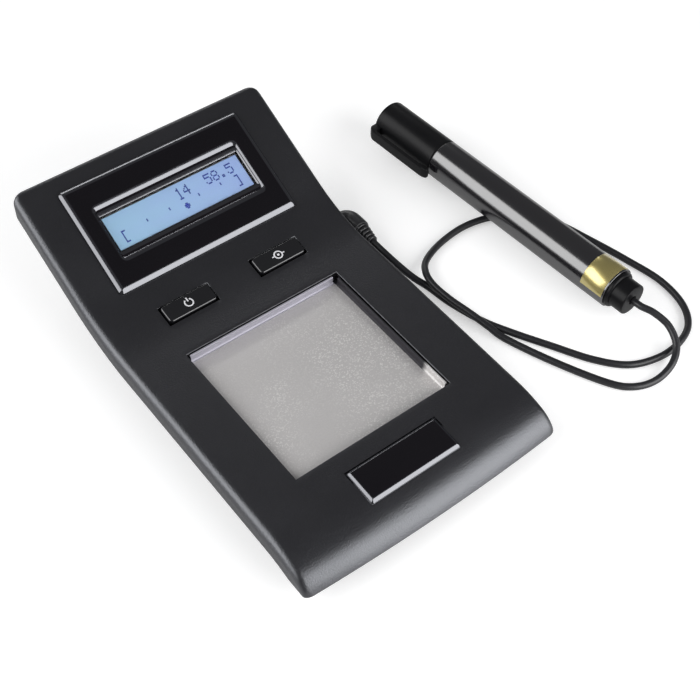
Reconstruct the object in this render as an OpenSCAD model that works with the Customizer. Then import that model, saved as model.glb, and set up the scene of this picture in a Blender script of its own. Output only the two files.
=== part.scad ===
/* [Housing] */
// Width of the housing
body_w = 118; // [110:1:145]
// Length of the housing
body_l = 200; // [190:1:240]
// Place of the housing's middle, behind the middle of the frame
body_y = 1.5; // [0:0.1:3]
// Height of the level deck above the underside
deck_z = 15.5; // [15:0.5:20]
// Tilt of the display slope in degrees
slope_a = 25; // [22:1:28]
// Length of the straight display slope up to its sharp top edge
slope_l = 52.6; // [52:0.1:60]
// Radius of the hollow sweep between deck and slope
sweep_r = 80; // [70:1:100]
// Radius of the gentle bend where the deck starts to fall
brow_r = 60; // [50:1:80]
// Turn of the gentle bend in degrees
brow_a = 16; // [12:1:20]
// Radius of the tight bend of the nose
nose_r = 15.5; // [14:0.5:18]
// Steepness at which the nose ends, in degrees
nose_a = 78; // [70:1:85]
// Radius of the four corners seen from above
corner_r = 5; // [4:0.5:8]
// Radius along the two long top edges
edge_r = 3.5; // [2:0.5:4.5]
// Radius along the top back edge
crest_r = 2.5; // [2:0.5:4]
// Wall of the upper housing
wall = 2.5; // [2:0.1:3]
// Depth of the skirt below the surface that it follows
skirt = 8; // [7.5:0.5:9]
// Height of the front lip above the underside
lip_z = 5.5; // [4:0.5:6.5]

/* [Lower housing] */
// Width of the tub at its underside
tub_w = 94; // [90:1:112]
// Place of the tub's back face at the underside, from the back of the housing
tub_back = 14.3; // [13:0.1:17]
// Place of the tub's front face at the underside, from the front of the housing
tub_front = 9; // [8:0.5:10]
// Outward lean of the tub's walls, in mm per mm of height
tub_lean = 0.25; // [0.15:0.01:0.26]
// Corner radius of the tub at the underside
tub_r = 6; // [4:0.5:9]
// Wall of the tub
tub_wall = 2.2; // [1.8:0.1:2.6]
// Thickness of the tub's floor
floor_t = 2.4; // [2.2:0.1:3]
// Thickness of the flange that fills the mouth of the skirt
flange_t = 2; // [1.5:0.1:3]

/* [Display] */
// Width of the raised display bezel
bezel_w = 85.3; // [82:0.1:100]
// Length of the bezel along the slope
bezel_l = 48.2; // [40:0.1:49]
// Height of the bezel above the slope
bezel_h = 2.3; // [1.8:0.1:3]
// Distance from the bezel to the sharp top edge of the slope
bezel_back = 10; // [9:0.1:12]
// Width of the bevel round the bezel
bezel_bevel = 2.2; // [1:0.1:3]
// Width of the display that shows
view_w = 64.5; // [60:0.1:66]
// Length of the display that shows, along the slope
view_l = 15.1; // [14:0.1:17]
// Thickness of the clear window pane
lens_t = 0.8; // [0.6:0.1:1]
// Width of the display module's metal frame
module_w = 71.2; // [70:0.1:73]
// Length of the display module's metal frame
module_l = 24.2; // [23:0.1:26]
// Height of the display module above its board
module_h = 7.3; // [7:0.1:7.5]
// Sheet thickness of the metal frame
frame_t = 0.5; // [0.4:0.1:0.6]
// Thickness of the display glass
glass_t = 2.2; // [1.8:0.1:2.6]
// Width of the display board
lcd_board_w = 80; // [78:0.5:80]
// Length of the display board
lcd_board_l = 36; // [34:0.5:36]
// Spacing of the display board's screws across
lcd_hole_w = 75; // [74:0.5:75]
// Spacing of the display board's screws along the slope
lcd_hole_l = 31; // [30:0.5:31]

/* [Buttons] */
// Width of a push button
button_w = 22.2; // [18:0.1:27]
// Length of a push button along the sweep
button_l = 8.3; // [7:0.1:10]
// Height that a button stands proud
button_proud = 0.7; // [0.5:0.1:1.2]
// Sideways place of each button from the middle
button_x = 21.7; // [18:0.1:26]
// Place of the buttons up the sweep, in degrees
button_turn = 9.1; // [8:0.1:11]
// Gap round a button in its well
button_gap = 0.9; // [0.5:0.1:1.2]
// Travel of a button
button_travel = 0.5; // [0.3:0.1:0.6]
// Bevel round the top of a button
button_bevel = 0.5; // [0.3:0.1:0.8]

/* [Test plate] */
// Width of the test plate
plate_w = 71; // [65:0.5:86]
// Length of the test plate
plate_l = 69.5; // [60:0.5:71]
// Place of the middle of the test plate, from the housing's middle
plate_y = -23; // [-24:0.5:-22]
// Sheet thickness of the test plate
plate_t = 0.8; // [0.5:0.1:1]
// Depth of the plate's floor below the deck
plate_depth = 3.6; // [3:0.1:3.8]
// Height of the plate's folded lips above its floor
lip_h = 3.4; // [2.5:0.1:4]
// Notch between two lips at a corner
lip_notch = 1.2; // [0.8:0.1:2]

/* [Badge] */
// Width of the badge on the nose
badge_w = 42.1; // [36:0.1:50]
// Length of the badge
badge_l = 15.9; // [14:0.1:18]
// Thickness of the badge
badge_t = 1.9; // [1.5:0.1:2.4]
// Forward tilt of the badge in degrees
badge_a = 2.3; // [1:0.1:4]
// Distance from the front of the housing to the badge
badge_front = 15.5; // [14.5:0.5:17]
// Bevel round the badge
badge_bevel = 1.1; // [0.6:0.1:1.4]

/* [Batteries] */
// Diameter of a battery cell
cell_d = 14.5; // [13.5:0.1:14.5]
// Length of a battery cell
cell_l = 50.5; // [44:0.5:50.5]
// Place of the rear cell's axis from the back of the housing
cell_back = 22.2; // [22:0.1:23]
// Space between the two cells
cell_gap = 0.4; // [0.2:0.1:0.6]
// Thickness of the battery door
door_t = 2; // [1.8:0.1:2]
// Width of the battery door between its tongues
door_w = 54; // [50:0.5:56]
// Reach of a tongue on the door's side
tongue_w = 1.1; // [0.8:0.1:1.4]
// Thickness of a tongue
tongue_t = 0.5; // [0.4:0.1:0.6]
// Wall of the battery bay
bay_wall = 1.5; // [1.2:0.1:2]

/* [Circuit board] */
// Width of the main board
board_w = 80; // [76:1:80]
// Thickness of a circuit board
board_t = 1.6; // [1.2:0.1:1.6]
// Height of the main board's underside
board_z = 5.2; // [4.8:0.1:5.4]
// Height of a push switch's case
switch_h = 3.5; // [3:0.1:3.8]
// Side of a push switch's case
switch_w = 6; // [5:0.5:7]

/* [Fasteners and feet] */
// Sideways place of the front screws and of the feet
screw_x = 38; // [36:0.5:40]
// Sideways place of the rear screws
rear_screw_x = 43.2; // [43:0.1:44]
// Radius of a housing screw's shank
screw_r = 1.45; // [1.2:0.05:1.5]
// Radius of a housing screw's head
head_r = 2.7; // [2.4:0.1:2.8]
// Radius of a rubber foot
foot_r = 5; // [4:0.5:6]
// Height of a foot below the underside
foot_h = 2; // [1.5:0.1:3]

/* [Plug and socket] */
// Height of the socket's axis above the underside
socket_z = 5; // [4.8:0.1:5.2]
// Place of the socket's axis from the back of the housing
socket_back = 58.5; // [55:0.5:61]
// Radius of the plug's pin
pin_r = 1.75; // [1.25:0.05:1.8]
// Length of the plug's pin beyond the plug
pin_l = 14; // [12:0.5:14]
// Radius of the plug's handle
handle_r = 4.5; // [4:0.1:5]
// Length of the plug's handle
handle_l = 10; // [8:0.5:14]
// Length of the ribbed strain relief
relief_l = 9; // [7:0.5:12]
// Number of ribs on the strain relief
relief_ribs = 5; // [3:1:7]

/* [Pen] */
// Diameter of the pen's barrel and cap
pen_d = 18; // [15:0.5:22]
// Length of the pen from end plug to cap end
pen_l = 146; // [130:1:176]
// Length of the cap
cap_l = 35.5; // [30:0.5:43]
// Wall of the pen's barrel and cap
pen_wall = 1.3; // [1:0.1:1.6]
// Diameter of the end plug
end_d = 14; // [12:0.5:15]
// Length of the end plug that shows
end_l = 6.8; // [5:0.1:9]
// Length of the gold label
label_l = 11.2; // [8:0.1:14]
// Turn of the gold label round the barrel, in degrees
label_a = 120; // [90:5:180]
// Width of the pocket clip
clip_w = 5; // [4:0.1:6]
// Gap between the clip and the cap
clip_gap = 3.1; // [2:0.1:4]
// Thickness of the clip
clip_t = 2.2; // [1.5:0.1:3]
// Turn of the pen seen from above, in degrees
pen_turn = 93.985; // [90:0.005:98]

/* [Cord] */
// Diameter of the lead's cord
cord_d = 3; // [2.4:0.1:3]

/* [Fits] */
// Gap between a sliding piece and its neighbour
slide_gap = 0.3; // [0.2:0.05:0.4]
// Gap between fixed pieces that drop into one another
seat_gap = 0.2; // [0.1:0.05:0.3]
// Radial play of a pin or spigot that turns or slides in a bore
running_fit = 0.05; // [0.02:0.01:0.08]

/* [Hidden] */
$fn = 64;

// Stations of the side outline, front to back
front_y = body_y - body_l / 2;
back_y = body_y + body_l / 2;
nose_end_z = deck_z - brow_r * (1 - cos(brow_a)) - nose_r * (cos(brow_a) - cos(nose_a));
tail_run = nose_end_z / tan(nose_a);
deck_y0 = front_y + tail_run + nose_r * (sin(nose_a) - sin(brow_a)) + brow_r * sin(brow_a);
nose_y = deck_y0 - (brow_r - nose_r) * sin(brow_a);
nose_z = deck_z - brow_r + (brow_r - nose_r) * cos(brow_a);
slope_y0 = back_y - slope_l * cos(slope_a);
slope_z0 = deck_z + sweep_r * (1 - cos(slope_a));
sweep_y = slope_y0 - sweep_r * sin(slope_a);
crest_run = slope_l - crest_r * (1 + sin(slope_a)) / cos(slope_a);
crest_y = back_y - crest_r;
crest_z = slope_z0 + crest_run * sin(slope_a) - crest_r * cos(slope_a);
top_z = crest_z + crest_r + 1;
table_z = -foot_h;

brow_end_y = deck_y0 - brow_r * sin(brow_a);
nose_end_y = nose_y - nose_r * sin(nose_a);

// Steps along the bends of the outer surface, and along one whose surface is hidden
corner_steps = 10;
sweep_steps = 9;
brow_steps = 4;
edge_steps = 6;
bend_steps = 8;
// Height to which hidden outlines run below the underside, and margin by which cuts pass a face
below = 6;
over = 1;
// Depth by which joined solids run into one another, and radial play of a screw's thread
bite = 0.1;
thread_play = 0.05;
hole_extra = 0.5;

// Display and its module, as heights above the slope's surface
bezel_s = slope_l - bezel_back - bezel_l / 2;
glass_play = 0.02;
frame_top = -seat_gap;
board_top = frame_top - module_h;
board_low = board_top - board_t;
glass_top = frame_top - frame_t - glass_play;
glass_w = module_w - 2 * (frame_t + seat_gap);
glass_l = module_l - 2 * (frame_t + seat_gap);
lens_edge = 2.25;
lens_w = view_w + 2 * lens_edge;
lens_l = view_l + 2 * lens_edge;
lens_play = 0.04;
window_margin = 1.5;
window_flare = 2;
bezel_peg_x = module_w / 2 + 3;
bezel_peg_r = 1.5;
boss_r = 2.6;
lcd_board_r = 1;
board_screw_r = 0.95;
board_head_r = 2;
board_head_h = 1.2;

// Buttons and switches
button_y = sweep_y + sweep_r * sin(button_turn);
button_z = deck_z + sweep_r * (1 - cos(button_turn));
flange_reach = 1;
flange_h = 1;
flange_top = -wall - slide_gap;
main_top = board_z + board_t;
plunger_h = 0.7;
plunger_r = 1.75;
plunger_top = main_top + switch_h + plunger_h;
stem_r = 1.5;
stem_gap = 0.4;
stem_end = -(button_z - plunger_top) / cos(button_turn) + button_travel + stem_gap;
switch_y = button_y + (button_z - plunger_top) * tan(button_turn);

// Test plate and its pocket
plate_z = deck_z - plate_depth;
pocket_gap = 0.75;
pocket_w = plate_w + 2 * pocket_gap;
pocket_l = plate_l + 2 * pocket_gap;
pocket_z = plate_z - plate_t;
pocket_floor = 1.8;
contact_r = 1.5;
contact_tip_r = 0.8;
contact_base_h = 2.6;
contact_hole_r = 2.5;

// Badge seat
badge_y = front_y + badge_front + badge_l / 2;
badge_drop = brow_r - sqrt(pow(brow_r, 2) - pow(deck_y0 - front_y - badge_front, 2));
badge_z = deck_z - badge_drop + badge_l / 2 * tan(badge_a);

// Tub and battery bay
tub_cx = tub_w / 2 - tub_r;
tub_y0 = front_y + tub_front + tub_r;
tub_y1 = back_y - tub_back - tub_r;
door_y1 = back_y - tub_back;
cell_r = cell_d / 2;
cell_z = door_t + slide_gap + cell_r;
cell_y1 = back_y - cell_back;
cell_y0 = cell_y1 - cell_d - cell_gap;
contact_t = 0.5;
spring_l = 3.1;
bay_x = cell_l / 2 + spring_l + contact_t;
bay_play = 0.6;
bay_y0 = cell_y0 - cell_r - bay_play;
bay_top = 12;
bay_lip = 0.7;
door_y0 = bay_y0 + bay_lip;
bay_open = 4;
door_reach = 20;
lead_l = 9;
contact_inset = 0.2;
door_rib_pitch = 2.4;
door_rib_w = 24;
spring_base_r = 4;
spring_tip_r = 2.4;
dimple_base_r = 2.6;
dimple_tip_r = 2;
nub_r = 2.7;
nub_h = 1;
contact_h = 9;
door_ribs = 5;
tongue_z = (door_t - tongue_t) / 2;
lead_r = 0.6;
lead_z = main_top + lead_r + contact_inset / 4;
lead_y0 = bay_y0 - bay_wall - lead_l;

// Main board
board_y1 = bay_y0 - bay_wall - 3;
board_y0 = plate_y - pocket_l / 2 - wall;
standoff_r = 2.5;
standoff_x = board_w / 2 - 6;
standoff_y0 = board_y0 + 5;
standoff_y1 = board_y1 - 8;
main_screw_l = 3.8;
board_r = 2;
// Chips on the board: place across, place along, width and length
chips = [[0, 12, 14, 14], [-22, 16, 6, 5], [22, 16, 6, 5]];
chip_h = 1.2;
cable_r = 8.4;
cable_t = 0.8;
cable_w = 24;
cable_drop = 0.35;
cable_y = bezel_place_y(-lcd_board_l / 2, board_low) - cable_drop;

// Screws and feet
screw_y0 = board_y0 - 8;
screw_y1 = back_y - 33.5;
foot_y0 = front_y + 18.5;
foot_y1 = back_y - 22.5;
foot_seat = 1;
foot_chamfer = 0.6;
head_h = 1.8;
head_z = 0.4;
pillar_r = 3.6;
front_pillar_z = 5;
rear_pillar_z = 12;
front_screw_z = 10.8;
rear_screw_z = 19;
screw_boss_r = 2.8;
screw_play = 0.25;

// Plug, socket and lead
socket_y = back_y - socket_back;
socket_x = body_w / 2 - 0.4;
sleeve_r = 2.9;
barrel_r = 4.3;
sleeve_x = board_w / 2 + 0.3;
barrel_x = sleeve_x + 3.2;
plug_x = socket_x + slide_gap;
plug_l = 6.6;
handle_x = plug_x + plug_l;
neck_r = 3.5;
pin_seat = 2;
pin_tip = 1.2;
first_rib_r = handle_r - 0.6;
rib_fall = 0.35;
rib_depth = 1;
rib_share = 0.6;
relief_y = socket_y - handle_l;
exit_y = relief_y - relief_l;

// Pen
pen_r = pen_d / 2;
pen_x = 126.85;
pen_y = -68.2;
lie_play = 0.05;
pen_lift = cord_d + 0.4;
pen_z = table_z + pen_lift + pen_r;
bore_r = pen_r - pen_wall;
collar_l = 1.9;
barrel_u = end_l + collar_l;
seam_u = pen_l - cap_l;
mouth_u = seam_u + slide_gap;
label_u = barrel_u + 0.8;
end_chamfer = 0.8;
plug_seat = 6;
groove = 0.8;
label_t = 0.15;
label_start = 110.7;
spigot_l = 8;
spigot_r = bore_r - running_fit;
nose_l = 26;
nose_tip_r = 3.6;
tip_r = 1.8;
tip_l = 5;
cap_end_t = 2;
clip_over = 2.5;
electrode_l = 9;
electrode_r = 1;
pad_r = 5;
reservoir_play = 1;
shoulder = 1;
tip_seat = 3;
tip_bevel = 1;
cap_chamfer = 0.8;
clip_root = 4;
clip_chamfer = 2;

// Cord: centres of the lead's route, chosen by hand, from the plug to the pen
lie_z = table_z + cord_d / 2 + lie_play;
cord_sides = 8;
cord_step = 8;
cord_points = [
    [handle_x, exit_y, socket_z],
    [handle_x, exit_y - 7, socket_z - 0.1],
    [66.7, 9.5, 3.2],
    [69, 1.5, 0.6],
    [71.4, -6, lie_z],
    [73, -18, lie_z],
    [77, -33, lie_z],
    [82.5, -45, lie_z],
    [91, -60.5, lie_z],
    [99.5, -75.5, lie_z],
    [109, -86, lie_z],
    [121, -90.6, lie_z],
    [133, -90.6, lie_z],
    [144, -86.3, lie_z],
    [151, -76.5, lie_z],
    [153.2, -62, lie_z],
    [150.4, -45.5, lie_z],
    [146, -27, lie_z],
    [141, -10, lie_z],
    [133, 1.5, lie_z],
    [121, 9, lie_z],
    [107, 12, lie_z],
    [92, 10.5, lie_z],
    [80.3, 6, 0.2],
    [73.9, -0.8, 2.6],
    [71.5, -8.5, 3.2],
    [71.8, -18.5, 3.2],
    [74, -29.5, 2.6],
    [76, -38, 1.3],
    [78.6, -47, lie_z],
    [86.2, -67.5, lie_z],
    [95.5, -87, lie_z],
    [102.3, -94.9, lie_z],
    [111.5, -98.4, 0],
    [121.5, -97.4, 1.6],
    [128.6, -92.8, 3.9],
    [131.2, -85.3, 7.2],
    [129.6, -78, 9.7],
    [127.3, -72.6, pen_z],
    [pen_x, pen_y, pen_z]
];

// Place on the bezel's own axis: height above the slope and run along it, as a y in the body
function bezel_place_y(run, height) =
    slope_y0 + (bezel_s + run) * cos(slope_a) - height * sin(slope_a);

// Side outline of the housing, moved inwards by depth, as points (y, z) from back to front
function slope_height(depth, y) =
    slope_z0 - depth * cos(slope_a) + (y - slope_y0 - depth * sin(slope_a)) * tan(slope_a);
function sweep_points(depth) =
    [for (i = [0 : bend_steps])
        let (turn = slope_a * (1 - i / bend_steps), r = sweep_r + depth)
        [sweep_y + r * sin(turn), deck_z + sweep_r - r * cos(turn)]];
function brow_points(depth) =
    [for (i = [0 : bend_steps])
        let (turn = brow_a * i / bend_steps, r = brow_r - depth)
        [deck_y0 - r * sin(turn), deck_z - brow_r + r * cos(turn)]];
function nose_points(depth) =
    [for (i = [1 : bend_steps])
        let (turn = brow_a + (nose_a - brow_a) * i / bend_steps, r = nose_r - depth)
        [nose_y - r * sin(turn), nose_z + r * cos(turn)]];
function nose_tail(depth) =
    let (end = nose_points(depth)[bend_steps - 1])
    [end[0] - (end[1] + below) / tan(nose_a), -below];
function crest_points(depth, rear_y) =
    depth < crest_r
        ? [for (i = [0 : bend_steps])
              let (turn = (90 + slope_a) * i / bend_steps, r = crest_r - depth)
              [crest_y + r * cos(turn), crest_z + r * sin(turn)]]
        : [[rear_y, slope_height(depth, rear_y)]];
function outline(depth, rear_y) =
    concat([[rear_y, -below]], crest_points(depth, rear_y), sweep_points(depth),
           brow_points(depth), nose_points(depth), [nose_tail(depth)]);

// Draws a (y, z) outline as a block across the housing
module side_block(width) {
    rotate([90, 0, 90]) linear_extrude(width, center = true) children();
}

// Draws an (x, z) outline as a block along the housing
module front_block(y0, y1) {
    translate([0, y1, 0]) rotate([90, 0, 0]) linear_extrude(y1 - y0) children();
}

// Rectangle with round corners, about the middle
module round_rect(w, l, r) {
    square([w - 2 * r, l], center = true);
    square([w, l - 2 * r], center = true);
    for (x = [-1, 1], y = [-1, 1])
        translate([x * (w / 2 - r), y * (l / 2 - r)]) circle(r);
}

// Block with the housing's outline seen from above, moved inwards
module plan_block(inset, z0, z1) {
    translate([0, body_y, z0]) linear_extrude(z1 - z0)
        round_rect(body_w - 2 * inset, body_l - 2 * inset, corner_r - inset);
}

// Block whose four top edges are bevelled, with its base at z = 0
module bevel_block(w, l, h, bevel) {
    intersection() {
        front_block(-l / 2, l / 2) bevel_outline(w, h, bevel);
        side_block(w) bevel_outline(l, h, bevel);
    }
}
module bevel_outline(w, h, bevel) {
    polygon([[-w / 2, 0], [w / 2, 0], [w / 2, h - bevel * 0.8], [w / 2 - bevel, h],
             [-w / 2 + bevel, h], [-w / 2, h - bevel * 0.8]]);
}

// Opening that widens towards its top
module flared_opening(w, l, z0, z1, flare) {
    intersection() {
        front_block(-l, l) flared_outline(w, z0, z1, flare);
        side_block(2 * w) flared_outline(l, z0, z1, flare);
    }
}
module flared_outline(w, z0, z1, flare) {
    polygon([[-w / 2, z0], [w / 2, z0], [w / 2 + flare, z1], [-w / 2 - flare, z1]]);
}

// Frames that stand on the slope and on the sweep
module on_slope() {
    translate([0, slope_y0 + bezel_s * cos(slope_a), slope_z0 + bezel_s * sin(slope_a)])
        rotate([slope_a, 0, 0]) children();
}
module on_sweep() {
    translate([0, button_y, button_z]) rotate([button_turn, 0, 0]) children();
}

// Corners of a rectangle of places
module at_corners(x, y) {
    for (i = [-1, 1], j = [-1, 1]) translate([i * x, j * y, 0]) children();
}

/* Upper housing: upright sections, each with two round edges, lofted from back to front */

// Height of the outer surface at y
function surface_z(y) =
    y > crest_y - crest_r * sin(slope_a) ? crest_z + sqrt(max(0, pow(crest_r, 2) - pow(y - crest_y, 2))) :
    y > slope_y0 ? slope_height(0, y) :
    y > sweep_y ? deck_z + sweep_r - sqrt(pow(sweep_r, 2) - pow(y - sweep_y, 2)) :
    y > deck_y0 ? deck_z :
    y > brow_end_y ? deck_z - brow_r + sqrt(pow(brow_r, 2) - pow(deck_y0 - y, 2)) :
    y > nose_end_y ? nose_z + sqrt(pow(nose_r, 2) - pow(nose_y - y, 2)) :
    nose_end_z - (nose_end_y - y) * tan(nose_a);

// Half of the housing's width at y, which shrinks round the corners
function half_width(y) =
    let (in_corner = max(0, abs(y - body_y) - body_l / 2 + corner_r))
    body_w / 2 - corner_r + sqrt(max(0, pow(corner_r, 2) - pow(in_corner, 2)));

// Stations of the sections, close together where the surface bends
function stations() =
    concat([for (i = [0 : corner_steps]) back_y - corner_r + corner_r * sin(90 * (1 - i / corner_steps))],
           [for (i = [0 : sweep_steps]) sweep_y + sweep_r * sin(slope_a * (1 - i / sweep_steps))],
           [for (i = [0 : brow_steps]) deck_y0 - brow_r * sin(brow_a * i / brow_steps)],
           [for (i = [1 : corner_steps])
               nose_y - nose_r * sin(brow_a + (nose_a - brow_a) * i / corner_steps)],
           [front_y]);

function section(y) =
    let (w = half_width(y), z = surface_z(y), mid = w - edge_r)
    concat([[-w, y, -below]],
           [for (i = [0 : edge_steps])
               let (t = 90 * i / edge_steps) [-mid - edge_r * cos(t), y, z - edge_r + edge_r * sin(t)]],
           [for (i = [edge_steps : -1 : 0])
               let (t = 90 * i / edge_steps) [mid + edge_r * cos(t), y, z - edge_r + edge_r * sin(t)]],
           [[w, y, -below]]);

// Solid through closed sections of equal point counts
module loft(sections) {
    n = len(sections[0]);
    last = len(sections) - 1;
    walls = [for (i = [0 : last - 1], k = [0 : n - 1])
                let (a = i * n + k, b = i * n + (k + 1) % n)
                for (side = [[a, b, b + n], [a, b + n, a + n]]) side];
    ends = [[for (k = [n - 1 : -1 : 0]) k], [for (k = [0 : n - 1]) last * n + k]];
    polyhedron([for (ring = sections) each ring], concat(walls, ends));
}

module housing_form() {
    loft([for (y = stations()) section(y)]);
}

module housing_cavity() {
    intersection() {
        plan_block(wall, -over, top_z);
        side_block(body_w) polygon(outline(wall, back_y - wall));
    }
}

module plate_pocket_walls() {
    translate([0, plate_y, (pocket_z - pocket_floor + deck_z - wall) / 2])
        cube([pocket_w + 2 * wall, pocket_l + 2 * wall,
              deck_z - wall - pocket_z + pocket_floor + bite], center = true);
}

module plate_pocket() {
    translate([0, plate_y, pocket_z + deck_z])
        cube([pocket_w, pocket_l, 2 * deck_z], center = true);
    translate([0, plate_y, 0]) cylinder(deck_z, r = contact_hole_r);
}

module display_bosses() {
    on_slope() at_corners(lcd_hole_w / 2, lcd_hole_l / 2)
        translate([0, 0, board_top]) cylinder(-board_top - wall / 2, r = boss_r);
}

module screw_bosses() {
    for (side = [-1, 1]) {
        translate([side * screw_x, screw_y0, front_pillar_z])
            cylinder(deck_z - wall / 2 - front_pillar_z, r = screw_boss_r);
        translate([side * rear_screw_x, screw_y1, rear_pillar_z])
            cylinder(slope_height(wall, screw_y1) + wall / 2 - rear_pillar_z, r = screw_boss_r);
    }
}

module housing_cuts() {
    on_slope() {
        translate([0, 0, -wall - over])
            linear_extrude(wall + 2 * over)
                square([module_w + 2 * seat_gap, module_l + 2 * seat_gap], center = true);
        linear_extrude(over)
            square([bezel_w + 2 * seat_gap, bezel_l + 2 * seat_gap], center = true);
        at_corners(lcd_hole_w / 2, lcd_hole_l / 2)
            translate([0, 0, board_top - over])
                cylinder(-board_top - wall + over, r = board_screw_r + thread_play);
        for (side = [-1, 1])
            translate([side * bezel_peg_x, 0, -wall - over])
                cylinder(wall + 2 * over, r = bezel_peg_r + seat_gap / 2);
    }
    on_sweep() for (side = [-1, 1])
        translate([side * button_x, 0, 0])
            cube([button_w + 2 * button_gap, button_l + 2 * button_gap, 4 * wall], center = true);
    translate([0, badge_y, badge_z]) rotate([badge_a, 0, 0])
        linear_extrude(over + badge_t)
            square([badge_w + 2 * seat_gap, badge_l + 2 * seat_gap], center = true);
    for (side = [-1, 1]) {
        translate([side * screw_x, screw_y0, front_pillar_z - over])
            cylinder(front_screw_z + over - front_pillar_z + hole_extra, r = screw_r + thread_play);
        translate([side * rear_screw_x, screw_y1, rear_pillar_z - over])
            cylinder(rear_screw_z + over - rear_pillar_z + hole_extra, r = screw_r + thread_play);
    }
}

module upper_housing() {
    color("#26232a") difference() {
        union() {
            difference() {
                housing_form();
                housing_cavity();
                side_block(body_w + over) polygon(outline(skirt, back_y + over));
                translate([0, body_y, lip_z - body_l / 2])
                    cube([body_l + over, body_l + over, body_l], center = true);
            }
            plate_pocket_walls();
            display_bosses();
            screw_bosses();
        }
        plate_pocket();
        housing_cuts();
    }
}

/* Lower housing: a drafted tub with a flange that follows the skirt */

// Box whose walls lean outwards, moved inwards, from z0 up
module drafted_box(inset, z0, height) {
    slant = sqrt(1 + pow(tub_lean, 2));
    r0 = tub_r - inset * slant + tub_lean * z0;
    hull() for (x = [-tub_cx, tub_cx], y = [tub_y0, tub_y1])
        translate([x, y, z0]) cylinder(height, r1 = r0, r2 = r0 + tub_lean * height, $fn = 64);
}

module tub_shell() {
    gap = wall + slide_gap;
    intersection() {
        drafted_box(0, 0, top_z);
        side_block(body_w) polygon(outline(skirt - flange_t, back_y));
        plan_block(gap, 0, top_z);
    }
    difference() {
        intersection() {
            plan_block(gap, lip_z, top_z);
            side_block(body_w) polygon(outline(skirt - flange_t, back_y));
        }
        side_block(body_w) polygon(outline(skirt, back_y + over));
    }
    intersection() {
        plan_block(gap, lip_z, top_z);
        side_block(body_w) difference() {
            polygon(outline(gap, back_y));
            polygon(outline(skirt, back_y + over));
            translate([tub_y0, -below]) square([body_l, top_z + below]);
        }
    }
}

module battery_bay() {
    span = 2 * bay_x + 2 * bay_wall;
    translate([-span / 2, bay_y0 - bay_wall, floor_t / 2])
        cube([span, bay_wall, bay_top - floor_t / 2]);
    for (side = [-1, 1])
        translate([side * (bay_x + bay_wall / 2) - bay_wall / 2, bay_y0 - bay_wall, floor_t / 2])
            cube([bay_wall, door_y1 - bay_y0 + bay_wall - over, bay_top - floor_t / 2]);
}

module tub_posts() {
    for (side = [-1, 1]) {
        translate([side * screw_x, screw_y0, 0]) cylinder(front_pillar_z, r = pillar_r);
        translate([side * rear_screw_x, screw_y1, 0]) cylinder(rear_pillar_z, r = pillar_r);
        for (y = [standoff_y0, standoff_y1])
            translate([side * standoff_x, y, 0]) cylinder(board_z, r = standoff_r);
    }
}

module tub_cuts() {
    for (side = [-1, 1]) {
        for (at = [[screw_x, screw_y0], [rear_screw_x, screw_y1]])
            translate([side * at[0], at[1], -over]) {
                cylinder(rear_pillar_z + 2 * over, r = screw_r + screw_play);
                cylinder(over + head_z + head_h, r = head_r + seat_gap);
            }
        for (y = [standoff_y0, standoff_y1])
            translate([side * standoff_x, y, floor_t]) cylinder(board_z, r = board_screw_r + thread_play);
        for (y = [foot_y0, foot_y1])
            translate([side * screw_x, y, -over]) cylinder(foot_seat + over, r = foot_r + seat_gap / 2);
        translate([side * (bay_x - contact_t / 2), bay_y0 + over, lead_z]) rotate([90, 0, 0])
            cylinder(bay_wall + 2 * over, r = lead_r + seat_gap);
    }
    translate([sleeve_x - over, socket_y, socket_z]) rotate([0, 90, 0])
        cylinder(body_w, r = sleeve_r + running_fit);
    door_slot();
}

module door_slot() {
    wide = door_w + 2 * slide_gap;
    translate([-wide / 2, door_y0 - slide_gap, -over])
        cube([wide, cell_y1 - door_y0 + bay_open, floor_t + 2 * over]);
    translate([-wide / 2, door_y0 - slide_gap, -over])
        cube([wide, door_y1 - door_y0 + door_reach, over + door_t + slide_gap]);
    translate([-wide / 2 - tongue_w, door_y0 - slide_gap, tongue_z - slide_gap])
        cube([wide + 2 * tongue_w, door_y1 - door_y0 + door_reach, tongue_t + 2 * slide_gap]);
}

module lower_housing() {
    color("#1d1b20") difference() {
        union() {
            difference() {
                tub_shell();
                drafted_box(tub_wall, floor_t, top_z);
            }
            intersection() {
                union() {
                    battery_bay();
                    tub_posts();
                }
                drafted_box(tub_wall / 2, 0, top_z);
            }
            translate([barrel_x, socket_y, socket_z]) rotate([0, 90, 0])
                cylinder(socket_x - barrel_x, r = barrel_r);
        }
        tub_cuts();
    }
}

module battery_door() {
    length = door_y1 - door_y0;
    color("#1d1b20") difference() {
        union() {
            translate([-door_w / 2, door_y0, 0]) cube([door_w, length, door_t]);
            translate([-door_w / 2 - tongue_w, door_y0, tongue_z])
                cube([door_w + 2 * tongue_w, length - door_t, tongue_t]);
        }
        for (i = [1 : door_ribs])
            translate([0, door_y0 + (i + 1) * door_rib_pitch, 0])
                cube([door_rib_w, over, over], center = true);
    }
}

/* Display */

module display_bezel() {
    color("#1b191e") on_slope() {
        difference() {
            bevel_block(bezel_w, bezel_l, bezel_h, bezel_bevel);
            flared_opening(view_w + window_margin, view_l + window_margin, -over, lens_t, 0);
            flared_opening(view_w + window_margin, view_l + window_margin,
                           lens_t - bite / 2, bezel_h + bite / 2, window_flare);
            translate([0, 0, lens_t / 2 - over / 2])
                cube([lens_w + seat_gap, lens_l + seat_gap, lens_t + over], center = true);
        }
        for (side = [-1, 1])
            translate([side * bezel_peg_x, 0, -wall]) cylinder(wall + lens_t, r = bezel_peg_r);
    }
}

module display_lens() {
    color("#c9d6e8", 0.4) on_slope()
        translate([0, 0, lens_t / 2]) cube([lens_w, lens_l, lens_t - lens_play], center = true);
}

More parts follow.
